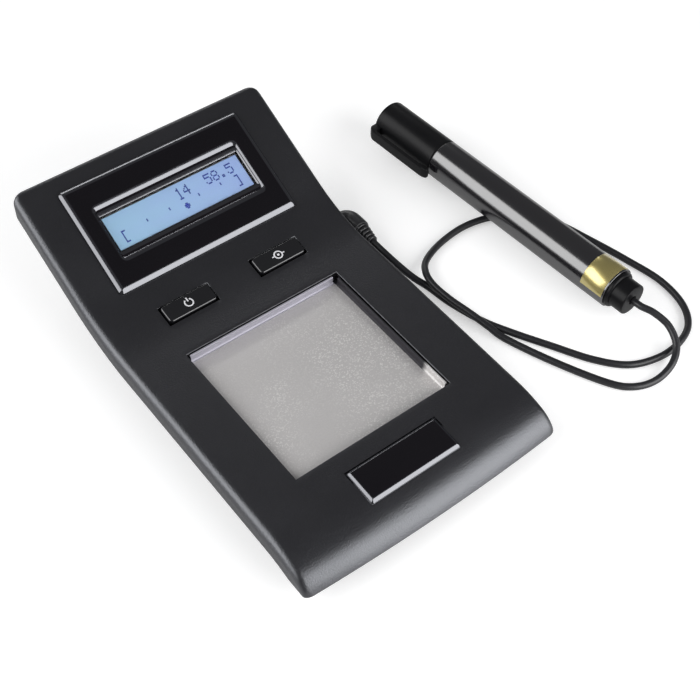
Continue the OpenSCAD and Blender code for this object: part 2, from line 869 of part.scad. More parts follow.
module lcd_frame() {
    color("#9a9aa0") on_slope() difference() {
        translate([0, 0, board_top + module_h / 2]) cube([module_w, module_l, module_h], center = true);
        translate([0, 0, board_top + (module_h - frame_t) / 2 - over / 2])
            cube([module_w - 2 * frame_t, module_l - 2 * frame_t, module_h - frame_t + over],
                 center = true);
        cube([view_w, view_l, 2 * (frame_t + glass_t)], center = true);
    }
}

module lcd_glass() {
    color("#8fb4e6") on_slope()
        translate([0, 0, glass_top - glass_t / 2]) cube([glass_w, glass_l, glass_t], center = true);
}

module lcd_light_guide() {
    high = glass_top - glass_t - board_top;
    color("#eef0f2") on_slope()
        translate([0, 0, board_top + high / 2]) cube([glass_w, glass_l, high], center = true);
}

module lcd_board() {
    color("#1f6b3a") on_slope() translate([0, 0, board_low]) difference() {
        linear_extrude(board_t) round_rect(lcd_board_w, lcd_board_l, lcd_board_r);
        at_corners(lcd_hole_w / 2, lcd_hole_l / 2)
            translate([0, 0, -over]) cylinder(board_t + 2 * over, r = board_screw_r + screw_play);
    }
}

// Flat cable that bends from the display board's front edge down to the main board
module lcd_cable() {
    color("#b9b9bd") rotate([90, 0, 90]) translate([cable_y, main_top, -cable_w / 2])
        rotate(90) rotate_extrude(angle = 90)
            translate([cable_r - cable_t / 2, 0]) square([cable_t, cable_w]);
}

/* Main board and what stands on it */

module main_board() {
    mid_y = (board_y0 + board_y1) / 2;
    color("#1f6b3a") difference() {
        union() {
            translate([0, mid_y, board_z]) linear_extrude(board_t)
                round_rect(board_w, board_y1 - board_y0, board_r);
            for (chip = chips)
                translate([chip[0], standoff_y0 + chip[1], main_top + (chip_h - bite) / 2])
                    cube([chip[2], chip[3], chip_h + bite], center = true);
        }
        for (side = [-1, 1], y = [standoff_y0, standoff_y1])
            translate([side * standoff_x, y, board_z - over])
                cylinder(board_t + 2 * over, r = board_screw_r + screw_play);
    }
}

module push_switch(x) {
    color("#2f2f33") translate([x, switch_y, main_top]) {
        translate([-switch_w / 2, -switch_w / 2, 0]) cube([switch_w, switch_w, switch_h]);
        translate([0, 0, switch_h - bite]) cylinder(plunger_h + bite, r = plunger_r);
    }
}
module mode_switch() { push_switch(-button_x); }
module cal_switch() { push_switch(button_x); }

module push_button(x) {
    low = flange_top - flange_h;
    color("#17161a") on_sweep() translate([x, 0, 0]) {
        translate([0, 0, flange_top - bite])
            bevel_block(button_w, button_l, button_proud - flange_top + bite, button_bevel);
        translate([0, 0, low + flange_h / 2])
            cube([button_w + 2 * (button_gap + flange_reach),
                  button_l + 2 * (button_gap + flange_reach), flange_h], center = true);
        translate([0, 0, stem_end]) cylinder(low - stem_end + bite, r = stem_r);
    }
}
module mode_button() { push_button(-button_x); }
module cal_button() { push_button(button_x); }

module test_plate() {
    side_l = plate_l - 2 * lip_notch;
    side_w = plate_w - 2 * lip_notch;
    high = plate_t + lip_h;
    color("#b5b2ad") translate([0, plate_y, pocket_z]) {
        translate([0, 0, plate_t / 2]) cube([plate_w, side_l, plate_t], center = true);
        translate([0, 0, plate_t / 2]) cube([side_w, plate_l, plate_t], center = true);
        for (side = [-1, 1]) {
            translate([side * (plate_w - plate_t) / 2, 0, high / 2])
                cube([plate_t, side_l, high], center = true);
            translate([0, side * (plate_l - plate_t) / 2, high / 2])
                cube([side_w, plate_t, high], center = true);
        }
    }
}

// Sprung contact pin between the board and the underside of the plate
module plate_contact() {
    color("#c8a24a") translate([0, plate_y, main_top]) rotate_extrude()
        polygon([[0, 0], [contact_r, 0], [contact_r, contact_base_h],
                 [contact_tip_r, contact_base_h + contact_tip_r / 2],
                 [contact_tip_r, pocket_z - main_top - contact_tip_r / 2],
                 [contact_tip_r / 2, pocket_z - main_top], [0, pocket_z - main_top]]);
}

module front_badge() {
    color("#19171b") translate([0, badge_y, badge_z]) rotate([badge_a, 0, 0])
        bevel_block(badge_w, badge_l, badge_t, badge_bevel);
}

module probe_socket() {
    color("#b8b8bd") translate([sleeve_x, socket_y, socket_z]) rotate([0, 90, 0]) difference() {
        cylinder(socket_x - sleeve_x, r = sleeve_r);
        translate([0, 0, plug_x - pin_l - bay_play - sleeve_x])
            cylinder(body_w, r = pin_r + running_fit);
    }
}

/* Batteries */

module battery_cells() {
    color("#4a4d52") for (row = [[cell_y0, 1], [cell_y1, -1]])
        translate([0, row[0], cell_z]) rotate([0, row[1] * 90, 0]) {
            translate([0, 0, -cell_l / 2]) cylinder(cell_l - nub_h, r = cell_r);
            translate([0, 0, cell_l / 2 - nub_h - bite]) cylinder(nub_h + bite, r = nub_r);
        }
}

module battery_contacts() {
    color("#c9c9cc") for (side = [-1, 1]) {
        translate([side * (bay_x - contact_t / 2) - contact_t / 2, bay_y0 + contact_inset,
                   cell_z - contact_h / 2])
            cube([contact_t, cell_y1 + cell_r - bay_y0 - 2 - contact_inset, contact_h]);
        // a conical spring presses on the flat end of one cell, and a dimple meets the other's nub
        translate([side * (bay_x - contact_t), side > 0 ? cell_y1 : cell_y0, cell_z])
            rotate([0, -side * 90, 0]) cylinder(spring_l, r1 = spring_base_r, r2 = spring_tip_r);
        translate([side * (bay_x - contact_t), side > 0 ? cell_y0 : cell_y1, cell_z])
            rotate([0, -side * 90, 0]) cylinder(spring_l, r1 = dimple_base_r, r2 = dimple_tip_r);
    }
}

module battery_leads() {
    color("#8c1f1f") for (side = [-1, 1])
        translate([side * (bay_x - contact_t / 2), bay_y0 + contact_inset, lead_z]) rotate([90, 0, 0])
            cylinder(bay_y0 + contact_inset - lead_y0, r = lead_r);
}

/* Feet and screws */

module rubber_feet() {
    color("#101012") for (side = [-1, 1], y = [foot_y0, foot_y1])
        translate([side * screw_x, y, -foot_h]) rotate_extrude()
            polygon([[0, 0], [foot_r - foot_chamfer, 0], [foot_r, foot_chamfer],
                     [foot_r, foot_h + foot_seat],
                     [0, foot_h + foot_seat]]);
}

module housing_screws() {
    color("#8d8d92") for (side = [-1, 1], at = [[screw_x, screw_y0, front_screw_z],
                                                 [rear_screw_x, screw_y1, rear_screw_z]])
        translate([side * at[0], at[1], head_z]) {
            cylinder(head_h, r = head_r);
            translate([0, 0, head_h - bite]) cylinder(at[2] - head_z - head_h, r = screw_r);
        }
}

module board_screws() {
    color("#8d8d92") {
        for (side = [-1, 1], y = [standoff_y0, standoff_y1])
            translate([side * standoff_x, y, main_top]) {
                cylinder(board_head_h, r = board_head_r);
                translate([0, 0, bite - main_screw_l]) cylinder(main_screw_l, r = board_screw_r);
            }
        on_slope() at_corners(lcd_hole_w / 2, lcd_hole_l / 2) {
            translate([0, 0, board_low - board_head_h]) cylinder(board_head_h, r = board_head_r);
            translate([0, 0, board_low - bite]) cylinder(main_screw_l, r = board_screw_r);
        }
    }
}

/* Lead: plug, pin, strain relief and cord */

module probe_plug() {
    color("#18171a") {
        difference() {
            union() {
                translate([handle_x, socket_y, socket_z]) sphere(handle_r);
                translate([handle_x, socket_y, socket_z]) rotate([90, 0, 0])
                    cylinder(handle_l, r = handle_r);
                translate([plug_x, socket_y, socket_z]) rotate([0, 90, 0])
                    cylinder(handle_x - plug_x, r = neck_r);
            }
            translate([plug_x - over, socket_y, socket_z]) rotate([0, 90, 0])
                cylinder(over + pin_seat, r = pin_r);
        }
    }
}

module plug_pin() {
    color("#c9c4b4") translate([plug_x - pin_l, socket_y, socket_z]) rotate([0, 90, 0])
        rotate_extrude() polygon([[0, 0], [pin_r / 2, 0], [pin_r, pin_tip], [pin_r, pin_l + pin_seat],
                                  [0, pin_l + pin_seat]]);
}

// Ribs of falling size, each with a waist beside it
module strain_relief() {
    pitch = relief_l / relief_ribs;
    color("#18171a") translate([handle_x, relief_y, socket_z]) rotate([90, 0, 0])
        for (i = [0 : relief_ribs - 1]) {
            rib_r = first_rib_r - rib_fall * i;
            translate([0, 0, i * pitch]) cylinder(pitch * rib_share, r = rib_r);
            translate([0, 0, i * pitch]) cylinder(pitch, r = rib_r - rib_depth);
        }
}

// Smooth route through the chosen points: at share t from one point to the next
function route_point(i, t) =
    let (last = len(cord_points) - 1, b = cord_points[i], c = cord_points[i + 1],
         a = i > 0 ? cord_points[i - 1] : 2 * b - c,
         d = i + 2 <= last ? cord_points[i + 2] : 2 * c - b)
    0.5 * (2 * b + (c - a) * t + (2 * a - 5 * b + 4 * c - d) * pow(t, 2)
           + (3 * b - a - 3 * c + d) * pow(t, 3));
function route() =
    concat([for (i = [0 : len(cord_points) - 2])
                let (gap = norm(cord_points[i + 1] - cord_points[i]), n = max(1, round(gap / cord_step)))
                for (k = [0 : n - 1]) route_point(i, k / n)],
           [cord_points[len(cord_points) - 1]]);
function unit(v) = v / norm(v);
function heading(path, i) =
    i == 0 ? [0, -1, 0] :
    i == len(path) - 1 ? [cos(pen_turn), sin(pen_turn), 0] :
    unit(path[i + 1] - path[i - 1]);

// Flat-sided rings along a path of points
function tube_rings(path, d, sides) =
    [for (i = [0 : len(path) - 1])
        let (along = heading(path, i), across = unit(cross(along, [0, 0, 1])),
             up = cross(across, along))
        [for (k = [0 : sides - 1])
            let (turn = 360 * (k + 0.5) / sides)
            path[i] + d / 2 * (cos(turn) * across + sin(turn) * up)]];

module probe_cord() {
    color("#131215") loft(tube_rings(route(), cord_d, cord_sides));
}

/* Pen: every piece is turned about its axis, from the end plug at 0 towards the cap */

module on_pen() {
    translate([pen_x, pen_y, pen_z]) rotate([0, 90, pen_turn]) children();
}

module pen_end_plug() {
    inner_r = bore_r - running_fit;
    color("#17161a") on_pen() rotate_extrude()
        polygon([[0, 0], [end_d / 2 - end_chamfer, 0], [end_d / 2, end_chamfer], [end_d / 2, barrel_u],
                 [inner_r, barrel_u], [inner_r, barrel_u + plug_seat], [0, barrel_u + plug_seat]]);
}

module pen_collar() {
    color("#222026") on_pen() translate([0, 0, end_l]) rotate_extrude()
        polygon([[end_d / 2, 0], [pen_r - 2 * groove, 0], [pen_r - groove, groove],
                 [pen_r - groove, collar_l], [end_d / 2, collar_l]]);
}

module pen_barrel() {
    color("#141317") on_pen() translate([0, 0, barrel_u]) difference() {
        cylinder(seam_u - barrel_u, r = pen_r);
        translate([0, 0, -over]) cylinder(pen_l, r = bore_r);
    }
}

module pen_label() {
    color("#c9a23a") on_pen() rotate([0, 0, label_start]) translate([0, 0, label_u])
        rotate_extrude(angle = label_a) translate([pen_r, 0]) square([label_t, label_l]);
}

module pen_electrode() {
    color("#c9c4b4") on_pen() translate([0, 0, barrel_u + plug_seat]) {
        cylinder(electrode_l, r = electrode_r);
        translate([0, 0, electrode_l - electrode_r]) cylinder(electrode_r, r = pad_r);
    }
}

module pen_reservoir() {
    from = barrel_u + plug_seat + electrode_l;
    color("#e6e3da") on_pen() translate([0, 0, from])
        cylinder(seam_u - spigot_l - from, r = bore_r - reservoir_play);
}

// Nose: a plug in the barrel, a spigot for the cap and a taper that carries the tip
module pen_nose() {
    color("#2a282d") on_pen() translate([0, 0, seam_u]) rotate_extrude()
        polygon([[0, -spigot_l], [bore_r, -spigot_l], [bore_r, 0], [spigot_r, bite],
                 [spigot_r, spigot_l], [spigot_r - shoulder, spigot_l + shoulder], [nose_tip_r, nose_l],
                 [tip_r, nose_l], [tip_r, nose_l - tip_seat], [0, nose_l - tip_seat]]);
}

module pen_tip() {
    color("#e9e7df") on_pen() translate([0, 0, seam_u + nose_l - tip_seat]) rotate_extrude()
        polygon([[0, 0], [tip_r, 0], [tip_r, tip_l - tip_bevel], [tip_r - tip_bevel, tip_l], [0, tip_l]]);
}

module pen_cap() {
    clip_low = pen_r + clip_gap;
    clip_high = clip_low + clip_t;
    ball_r = pen_r + 2;
    ball_u = seam_u - clip_over;
    color("#151418") on_pen() difference() {
        union() {
            translate([0, 0, mouth_u]) rotate_extrude()
                polygon([[0, 0], [pen_r, 0], [pen_r, pen_l - mouth_u - cap_chamfer],
                         [pen_r - cap_chamfer, pen_l - mouth_u], [0, pen_l - mouth_u]]);
            rotate([90, 0, 90]) linear_extrude(clip_w, center = true)
                polygon([[pen_r - clip_t, pen_l - clip_root], [clip_low, pen_l - clip_root],
                         [clip_low, seam_u + clip_chamfer], [ball_r, ball_u + clip_chamfer],
                         [ball_r, ball_u], [clip_high - clip_chamfer / 2, ball_u],
                         [clip_high, ball_u + clip_chamfer], [clip_high, pen_l - clip_chamfer],
                         [clip_high - clip_chamfer, pen_l], [pen_r - clip_t, pen_l]]);
        }
        translate([0, 0, mouth_u - over]) cylinder(pen_l - mouth_u + over - cap_end_t, r = bore_r);
    }
}

upper_housing();
lower_housing();
display_bezel();
display_lens();
lcd_frame();
lcd_glass();
lcd_light_guide();
lcd_board();
lcd_cable();
main_board();
mode_switch();
cal_switch();
mode_button();
cal_button();
test_plate();
plate_contact();
front_badge();
probe_socket();
battery_cells();
battery_contacts();
battery_leads();
battery_door();
rubber_feet();
housing_screws();
board_screws();
probe_plug();
plug_pin();
strain_relief();
probe_cord();
pen_barrel();
pen_label();
pen_collar();
pen_end_plug();
pen_electrode();
pen_reservoir();
pen_nose();
pen_tip();
pen_cap();
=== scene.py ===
import bpy
import bmesh
import numpy as np
from mathutils import Matrix, Vector


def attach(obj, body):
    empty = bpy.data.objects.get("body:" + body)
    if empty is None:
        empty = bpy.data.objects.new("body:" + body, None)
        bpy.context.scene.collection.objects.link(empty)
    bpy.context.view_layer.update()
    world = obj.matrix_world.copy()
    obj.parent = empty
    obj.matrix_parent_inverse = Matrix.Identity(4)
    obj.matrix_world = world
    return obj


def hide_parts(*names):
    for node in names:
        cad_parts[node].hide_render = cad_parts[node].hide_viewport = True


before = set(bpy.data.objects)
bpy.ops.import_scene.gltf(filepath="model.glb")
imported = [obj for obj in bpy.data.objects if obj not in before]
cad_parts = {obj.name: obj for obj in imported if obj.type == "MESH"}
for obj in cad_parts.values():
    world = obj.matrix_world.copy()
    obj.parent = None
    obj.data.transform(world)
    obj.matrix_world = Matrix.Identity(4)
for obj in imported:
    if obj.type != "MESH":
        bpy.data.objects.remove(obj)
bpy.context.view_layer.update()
mm = 0.001  # shapes are worked out in millimetres and written to the meshes in metres
print("frame loaded")


def direction(degrees):
    return np.cos(np.radians(degrees)), np.sin(np.radians(degrees))


def arc(fromDeg, toDeg, steps):
    return np.radians(np.linspace(fromDeg, toDeg, steps + 1))


def gridFaces(rows, cols, closeRows=False, closeCols=False):
    # quads between neighbouring points of a rows by cols grid, stored row by row
    i = np.arange(rows if closeRows else rows - 1)[:, None]
    j = np.arange(cols if closeCols else cols - 1)[None, :]
    nextI, nextJ = (i + 1) % rows, (j + 1) % cols
    corners = [i * cols + j, i * cols + nextJ, nextI * cols + nextJ, nextI * cols + j]
    return np.stack(corners, axis=-1).reshape(-1, 4)


def gridSurface(grid, closeRows=False, closeCols=False, ends=False):
    # surface through a grid of points; with ends, its first and last row are closed by a face each
    rows, cols = grid.shape[:2]
    faces = gridFaces(rows, cols, closeRows, closeCols).tolist()
    if ends:
        row = list(range(cols))
        faces += [row[::-1], [(rows - 1) * cols + k for k in row]]
    return grid.reshape(-1, 3), faces


def makePiece(name, points, faces, finish, body, slot, node=None, angle=30):
    # doubles merged, faces outwards, smooth apart from edges sharper than the angle
    mesh = bpy.data.meshes.new(name)
    mesh.from_pydata((np.asarray(points, float) * mm).tolist(), [], [list(map(int, f)) for f in faces])
    mesh.validate()
    work = bmesh.new()
    work.from_mesh(mesh)
    bmesh.ops.remove_doubles(work, verts=work.verts, dist=0.002 * mm)
    bmesh.ops.dissolve_degenerate(work, edges=work.edges, dist=0.001 * mm)
    bmesh.ops.recalc_face_normals(work, faces=work.faces)
    work.to_mesh(mesh)
    work.free()
    mesh.polygons.foreach_set("use_smooth", np.ones(len(mesh.polygons), bool))
    mesh.set_sharp_from_angle(angle=np.radians(angle))
    piece = bpy.data.objects.new(name, mesh)
    bpy.context.scene.collection.objects.link(piece)
    mesh.materials.append(materials[finish])
    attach(piece, body)
    if node:
        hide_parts(node)
    return piece


def joined(*parts):
    # several (points, faces) put into one
    points, faces, count = [], [], 0
    for p, f in parts:
        points.append(np.asarray(p, float))
        faces += [[int(k) + count for k in face] for face in f]
        count += len(p)
    return np.vstack(points), faces


def roundedLoop(w, l, r, steps):
    # outline of a rectangle with round corners, anticlockwise from its right side
    r = min(max(r, 0.01), w / 2 - 0.01, l / 2 - 0.01)
    t = arc(0, 90, steps)
    parts = []
    for k, (sx, sy) in enumerate([(1, 1), (-1, 1), (-1, -1), (1, -1)]):
        a = t + k * np.pi / 2
        parts.append(np.column_stack([sx * (w / 2 - r) + r * np.cos(a), sy * (l / 2 - r) + r * np.sin(a)]))
    return np.vstack(parts)


def loopStack(levels, closed=False, steps=6):
    # each level is (width, length, corner radius, height); the loops are joined in order
    rings = np.array([np.column_stack([roundedLoop(w, l, r, steps), np.full(4 * (steps + 1), z)])
                      for w, l, r, z in levels])
    return gridSurface(rings, closed, True, ends=not closed)


def slab(size, low, high, inset, rise):
    # plate of (width, length, corner radius) whose edges are bevelled above and below
    w, l, r = size
    return loopStack([(w - 2 * inset, l - 2 * inset, r, low), (w, l, r, low + rise),
                      (w, l, r, high - rise), (w - 2 * inset, l - 2 * inset, r, high)])


def roundEdge(w, l, r, top, radius, steps):
    # levels of a quarter-round top edge: inset = radius (1 - cos t), height = top - radius (1 - sin t)
    t = arc(0, 90, steps)
    inset = radius * (1 - np.cos(t))
    return list(zip(w - 2 * inset, l - 2 * inset, np.maximum(r - inset, 0.05),
                    top - radius * (1 - np.sin(t))))


def pillowed(w, l, r, side, top, bevel, steps=8):
    # levels of a convex bevel: inset = bevel s, height = side + (top - side) (1 - (1 - s)^1.6)
    s = np.linspace(0, 1, steps + 1)
    return list(zip(w - 2 * bevel * s, l - 2 * bevel * s, np.maximum(r - bevel * s, 0.3),
                    side + (top - side) * (1 - (1 - s) ** 1.6)))


def revolved(profile, steps):
    # profile of (place along the axis, radius) carried round the axis
    u, r = np.asarray(profile, float).T[:, :, None]
    t = np.linspace(0, 2 * np.pi, steps, endpoint=False)
    return gridSurface(np.stack([r * np.cos(t), r * np.sin(t), u + 0 * t], axis=-1), closeCols=True)


def sector(profile, fromDeg, toDeg, steps):
    # closed profile of (radius, height) carried round part of a circle, with both ends closed, or all of it
    r, z = np.asarray(profile, float).T[:, :, None]
    t = arc(fromDeg, toDeg, steps)
    points, faces = gridSurface(np.stack([r * np.cos(t), r * np.sin(t), z + 0 * t], axis=-1), closeRows=True)
    if toDeg - fromDeg < 360:
        starts = [k * len(t) for k in range(len(profile))]
        faces += [starts, [k + len(t) - 1 for k in reversed(starts)]]
    return points, faces


def softCorners(profile, radius, steps=4):
    # rounds the inner corners of an open profile with short arcs (quadratic curves through each corner)
    profile = [np.array(p, float) for p in profile]
    out = [profile[0]]
    for a, b, c in zip(profile, profile[1:], profile[2:]):
        ends = []
        for side in (a, c):
            run = np.linalg.norm(side - b)
            ends.append(b + (side - b) / max(run, 1e-9) * min(radius, run * 0.45))
        for s in np.linspace(0, 1, steps + 1):
            out.append((1 - s) ** 2 * ends[0] + 2 * s * (1 - s) * b + s ** 2 * ends[1])
    return np.array(out + [profile[-1]])


def tilted(points, degrees, origin):
    # turned about X, then moved
    c, s = direction(degrees)
    x, y, z = np.asarray(points, float).T
    return np.column_stack([x + origin[0], y * c - z * s + origin[1], y * s + z * c + origin[2]])


camera = {"place": (-0.1822, -0.2612, 0.3964), "focalPixels": 1269.5, "picturePixels": 700, "sensor": 36,
          "right": (0.7891, -0.6137, 0.0264), "up": (0.4634, 0.6231, 0.6301),
          "back": (-0.4031, -0.4850, 0.7761), "near": 0.01, "far": 50}


def makeCamera():
    data = bpy.data.cameras.new("camera")
    data.lens = camera["focalPixels"] / camera["picturePixels"] * camera["sensor"]
    data.sensor_width = data.sensor_height = camera["sensor"]
    data.clip_start, data.clip_end = camera["near"], camera["far"]
    eye = bpy.data.objects.new("camera", data)
    bpy.context.scene.collection.objects.link(eye)
    turn = Matrix([camera["right"], camera["up"], camera["back"]]).transposed().to_4x4()
    eye.matrix_world = Matrix.Translation(camera["place"]) @ turn.to_quaternion().to_matrix().to_4x4()
    bpy.context.scene.camera = eye


makeCamera()
print("camera placed")


def addNode(tree, kind, **values):
    node = tree.nodes.new("ShaderNode" + kind)
    for key, value in values.items():
        setattr(node, key, value)
    return node


def feed(tree, socket, value):
    # a socket takes another node's output or a plain value; a plain colour is given without its alpha
    if isinstance(value, bpy.types.NodeSocket):
        tree.links.new(value, socket)
    else:
        socket.default_value = (*value, 1) if socket.type == "RGBA" else value


def feedAll(tree, sockets, **values):
    for key, value in values.items():
        feed(tree, sockets[key.replace("_", " ")], value)


def calc(tree, operation, a, b=None, c=None, clamp=False):
    node = addNode(tree, "Math", operation=operation, use_clamp=clamp)
    for socket, value in zip(node.inputs, (a, b, c)):
        if value is not None:
            feed(tree, socket, value)
    return node.outputs[0]


def noise(tree, vector, scale, detail, rough):
    node = addNode(tree, "TexNoise")
    feedAll(tree, node.inputs, Vector=vector, Scale=scale, Detail=detail, Roughness=rough)
    return node.outputs["Fac"]


def mixColors(tree, factor, a, b):
    node = addNode(tree, "Mix", data_type="RGBA")
    for k, value in ((0, factor), (6, a), (7, b)):
        feed(tree, node.inputs[k], value)
    return node.outputs[2]


def splitVector(tree, vector):
    node = addNode(tree, "SeparateXYZ")
    feed(tree, node.inputs[0], vector)
    return node.outputs


def relief(tree, height, strength, depth):
    # bump whose full height is depth millimetres
    node = addNode(tree, "Bump")
    feedAll(tree, node.inputs, Strength=strength, Distance=depth * mm, Height=height)
    return node.outputs[0]


def newGroup(name, inputs, outputs):
    group = bpy.data.node_groups.new(name, "ShaderNodeTree")
    for way, sockets in (("INPUT", inputs), ("OUTPUT", outputs)):
        for label, kind in sockets.items():
            group.interface.new_socket(name=label, in_out=way, socket_type="NodeSocket" + kind)
    return group, group.nodes.new("NodeGroupInput").outputs, group.nodes.new("NodeGroupOutput").inputs


def groupNode(tree, group, **values):
    node = addNode(tree, "Group", node_tree=group)
    feedAll(tree, node.inputs, **values)
    return node.outputs


def makeGrainGroup():
    # moulded or worn surface: a fine and a broad noise blend two colours and swing the roughness
    group, given, made = newGroup(
        "mouldedGrain",
        {"Vector": "Vector", "Grain Scale": "Float", "Cloud Scale": "Float", "Base": "Color",
         "Tint": "Color", "Roughness": "Float", "Roughness Spread": "Float"},
        {"Color": "Color", "Roughness": "Float", "Height": "Float"})
    fine = noise(group, given["Vector"], given["Grain Scale"], 3.0, 0.6)
    cloud = noise(group, given["Vector"], given["Cloud Scale"], 4.0, 0.55)
    both = calc(group, "MULTIPLY_ADD", fine, 0.55, calc(group, "MULTIPLY", cloud, 0.45))
    rough = calc(group, "MULTIPLY_ADD", calc(group, "SUBTRACT", both, 0.5), given["Roughness Spread"],
                 given["Roughness"], clamp=True)
    feedAll(group, made, Color=mixColors(group, both, given["Base"], given["Tint"]), Roughness=rough,
            Height=fine)
    return group


def makeScuffGroup():
    # hairline scratches: a noise drawn out along one way, kept only where it is highest
    group, given, made = newGroup(
        "hairlines",
        {"Vector": "Vector", "Turn": "Vector", "Stretch": "Vector", "Scale": "Float", "Amount": "Float"},
        {"Mask": "Float", "Lines": "Float"})
    place = addNode(group, "Mapping")
    feedAll(group, place.inputs, Vector=given["Vector"], Rotation=given["Turn"], Scale=given["Stretch"])
    lines = noise(group, place.outputs[0], given["Scale"], 4.0, 0.7)
    edge = calc(group, "SUBTRACT", 1.0, calc(group, "MULTIPLY", given["Amount"], 0.5))
    mask = calc(group, "MULTIPLY", calc(group, "SUBTRACT", lines, edge), 8.0, clamp=True)
    feedAll(group, made, Mask=mask, Lines=lines)
    return group


grainGroup = makeGrainGroup()
scuffGroup = makeScuffGroup()


def newMaterial(name):
    material = bpy.data.materials.new(name)
    material.use_nodes = True
    return material, material.node_tree, material.node_tree.nodes["Principled BSDF"].inputs


def objectPlace(tree):
    return addNode(tree, "TexCoord").outputs["Object"]


def grainOn(tree, place, color, tint, rough, spread, grain, cloud):
    return groupNode(tree, grainGroup, Vector=place, Base=color, Tint=tint, Roughness=rough,
                     Roughness_Spread=spread, Grain_Scale=grain, Cloud_Scale=cloud)


def grainMaterial(name, color, tint, rough, spread, grain, cloud, bump, depth, sockets=None):
    # the finish that most pieces share: grain, cloudy roughness and a slight relief
    material, tree, shader = newMaterial(name)
    surface = grainOn(tree, objectPlace(tree), color, tint, rough, spread, grain, cloud)
    feedAll(tree, shader, Base_Color=surface["Color"], Roughness=surface["Roughness"],
            Normal=relief(tree, surface["Height"], bump, depth), **(sockets or {}))
    return material


# each finish: colour, tint, roughness and its spread, scale of the grain and of the clouds,
# strength of the relief and its depth in millimetres, then what is set on the shader itself
finishes = {
    "housing": ((0.0035, 0.003, 0.004), (0.0065, 0.006, 0.008), 0.36, 0.16, 1500, 45, 1.0, 0.13,
                dict(Specular_IOR_Level=1.0, IOR=1.6, Specular_Tint=(0.92, 0.94, 1.0))),
    "tub": ((0.013, 0.012, 0.014), (0.022, 0.021, 0.024), 0.5, 0.2, 1900, 40, 0.5, 0.05,
            dict(Specular_IOR_Level=0.4)),
    "bezel": ((0.004, 0.0035, 0.005), (0.007, 0.006, 0.008), 0.2, 0.08, 1200, 30, 0.04, 0.01,
              dict(Specular_IOR_Level=0.35)),
    "bezelEdge": ((0.006, 0.006, 0.008), (0.01, 0.01, 0.013), 0.15, 0.12, 1200, 70, 0.06, 0.01,
                  dict(Specular_IOR_Level=1.0, IOR=1.72, Specular_Tint=(0.93, 0.94, 1.0))),
    "button": ((0.004, 0.004, 0.005), (0.007, 0.007, 0.009), 0.2, 0.12, 2400, 120, 0.1, 0.02,
               dict(Specular_IOR_Level=1.0)),
    "penGloss": ((0.004, 0.0035, 0.005), (0.008, 0.007, 0.009), 0.17, 0.08, 1500, 55, 0.05, 0.01,
                 dict(Specular_IOR_Level=1.0, IOR=1.75)),
    "capBlack": ((0.004, 0.004, 0.0045), (0.008, 0.008, 0.009), 0.34, 0.1, 1700, 60, 0.1, 0.015,
                 dict(Specular_IOR_Level=0.16)),
    "plug": ((0.009, 0.009, 0.011), (0.017, 0.017, 0.02), 0.34, 0.2, 2200, 110, 0.3, 0.04,
             dict(Specular_IOR_Level=1.0)),
    "cord": ((0.010, 0.010, 0.012), (0.02, 0.02, 0.023), 0.36, 0.18, 1800, 140, 0.25, 0.03,
             dict(Specular_IOR_Level=0.5)),
    "foot": ((0.012, 0.012, 0.012), (0.03, 0.03, 0.03), 0.8, 0.2, 2600, 160, 0.5, 0.05,
             dict(Specular_IOR_Level=0.3)),
    "screwSteel": ((0.5, 0.5, 0.52), (0.33, 0.33, 0.35), 0.34, 0.3, 3500, 300, 0.2, 0.02,
                   dict(Metallic=1.0)),
    "contactSteel": ((0.74, 0.74, 0.75), (0.6, 0.6, 0.62), 0.18, 0.2, 3500, 260, 0.1, 0.01,
                     dict(Metallic=1.0)),
    "brass": ((0.78, 0.57, 0.24), (0.6, 0.42, 0.16), 0.25, 0.25, 3500, 260, 0.1, 0.01, dict(Metallic=1.0)),
    "moduleMetal": ((0.02, 0.02, 0.022), (0.035, 0.035, 0.038), 0.4, 0.2, 2500, 150, 0.15, 0.02,
                    dict(Specular_IOR_Level=0.5)),
    "board": ((0.012, 0.13, 0.05), (0.02, 0.19, 0.075), 0.35, 0.2, 1600, 220, 0.15, 0.02),
    "lightGuide": ((0.85, 0.87, 0.9), (0.75, 0.78, 0.82), 0.4, 0.1, 1500, 90, 0.05, 0.02),
    "ribbon": ((0.45, 0.45, 0.47), (0.3, 0.3, 0.32), 0.5, 0.1, 1500, 400, 0.1, 0.02),
    "switchBody": ((0.015, 0.015, 0.016), (0.03, 0.03, 0.032), 0.5, 0.1, 2500, 200, 0.2, 0.02),
    "leadRed": ((0.4, 0.015, 0.015), (0.3, 0.01, 0.01), 0.4, 0.1, 1500, 200, 0.1, 0.02),
    "reservoir": ((0.85, 0.83, 0.78), (0.72, 0.7, 0.63), 0.45, 0.1, 1500, 120, 0.05, 0.02,
                  dict(Transmission_Weight=0.2)),
    "nosePlastic": ((0.02, 0.02, 0.022), (0.035, 0.035, 0.038), 0.45, 0.15, 2200, 120, 0.25, 0.03),
    "felt": ((0.82, 0.8, 0.74), (0.5, 0.48, 0.42), 0.95, 0.05, 4200, 700, 0.9, 0.12,
             dict(Specular_IOR_Level=0.1)),
    "print": ((0.82, 0.82, 0.84), (0.7, 0.7, 0.73), 0.4, 0.1, 5000, 400, 0.1, 0.01),
    "displayInk": ((0.02, 0.03, 0.33), (0.03, 0.045, 0.42), 0.6, 0.05, 4000, 300, 0.02, 0.01,
                   dict(Specular_IOR_Level=0.1)),
}

# the back and right lip colours are painted shade on the plate's folded edges, cooler on the back one and
# nearly black on the right one; the glint colour is for painted glints
plateLook = {"color": (0.74, 0.722, 0.715), "tint": (0.60, 0.583, 0.578), "glint": (1.0, 0.99, 0.97),
             "backLipPaintedShade": (0.46, 0.45, 0.51), "rightLipPaintedShade": (0.045, 0.043, 0.05),
             "backLipY": 10.2, "rightLipX": 33.9, "paintedShadeFromY": -47.0}


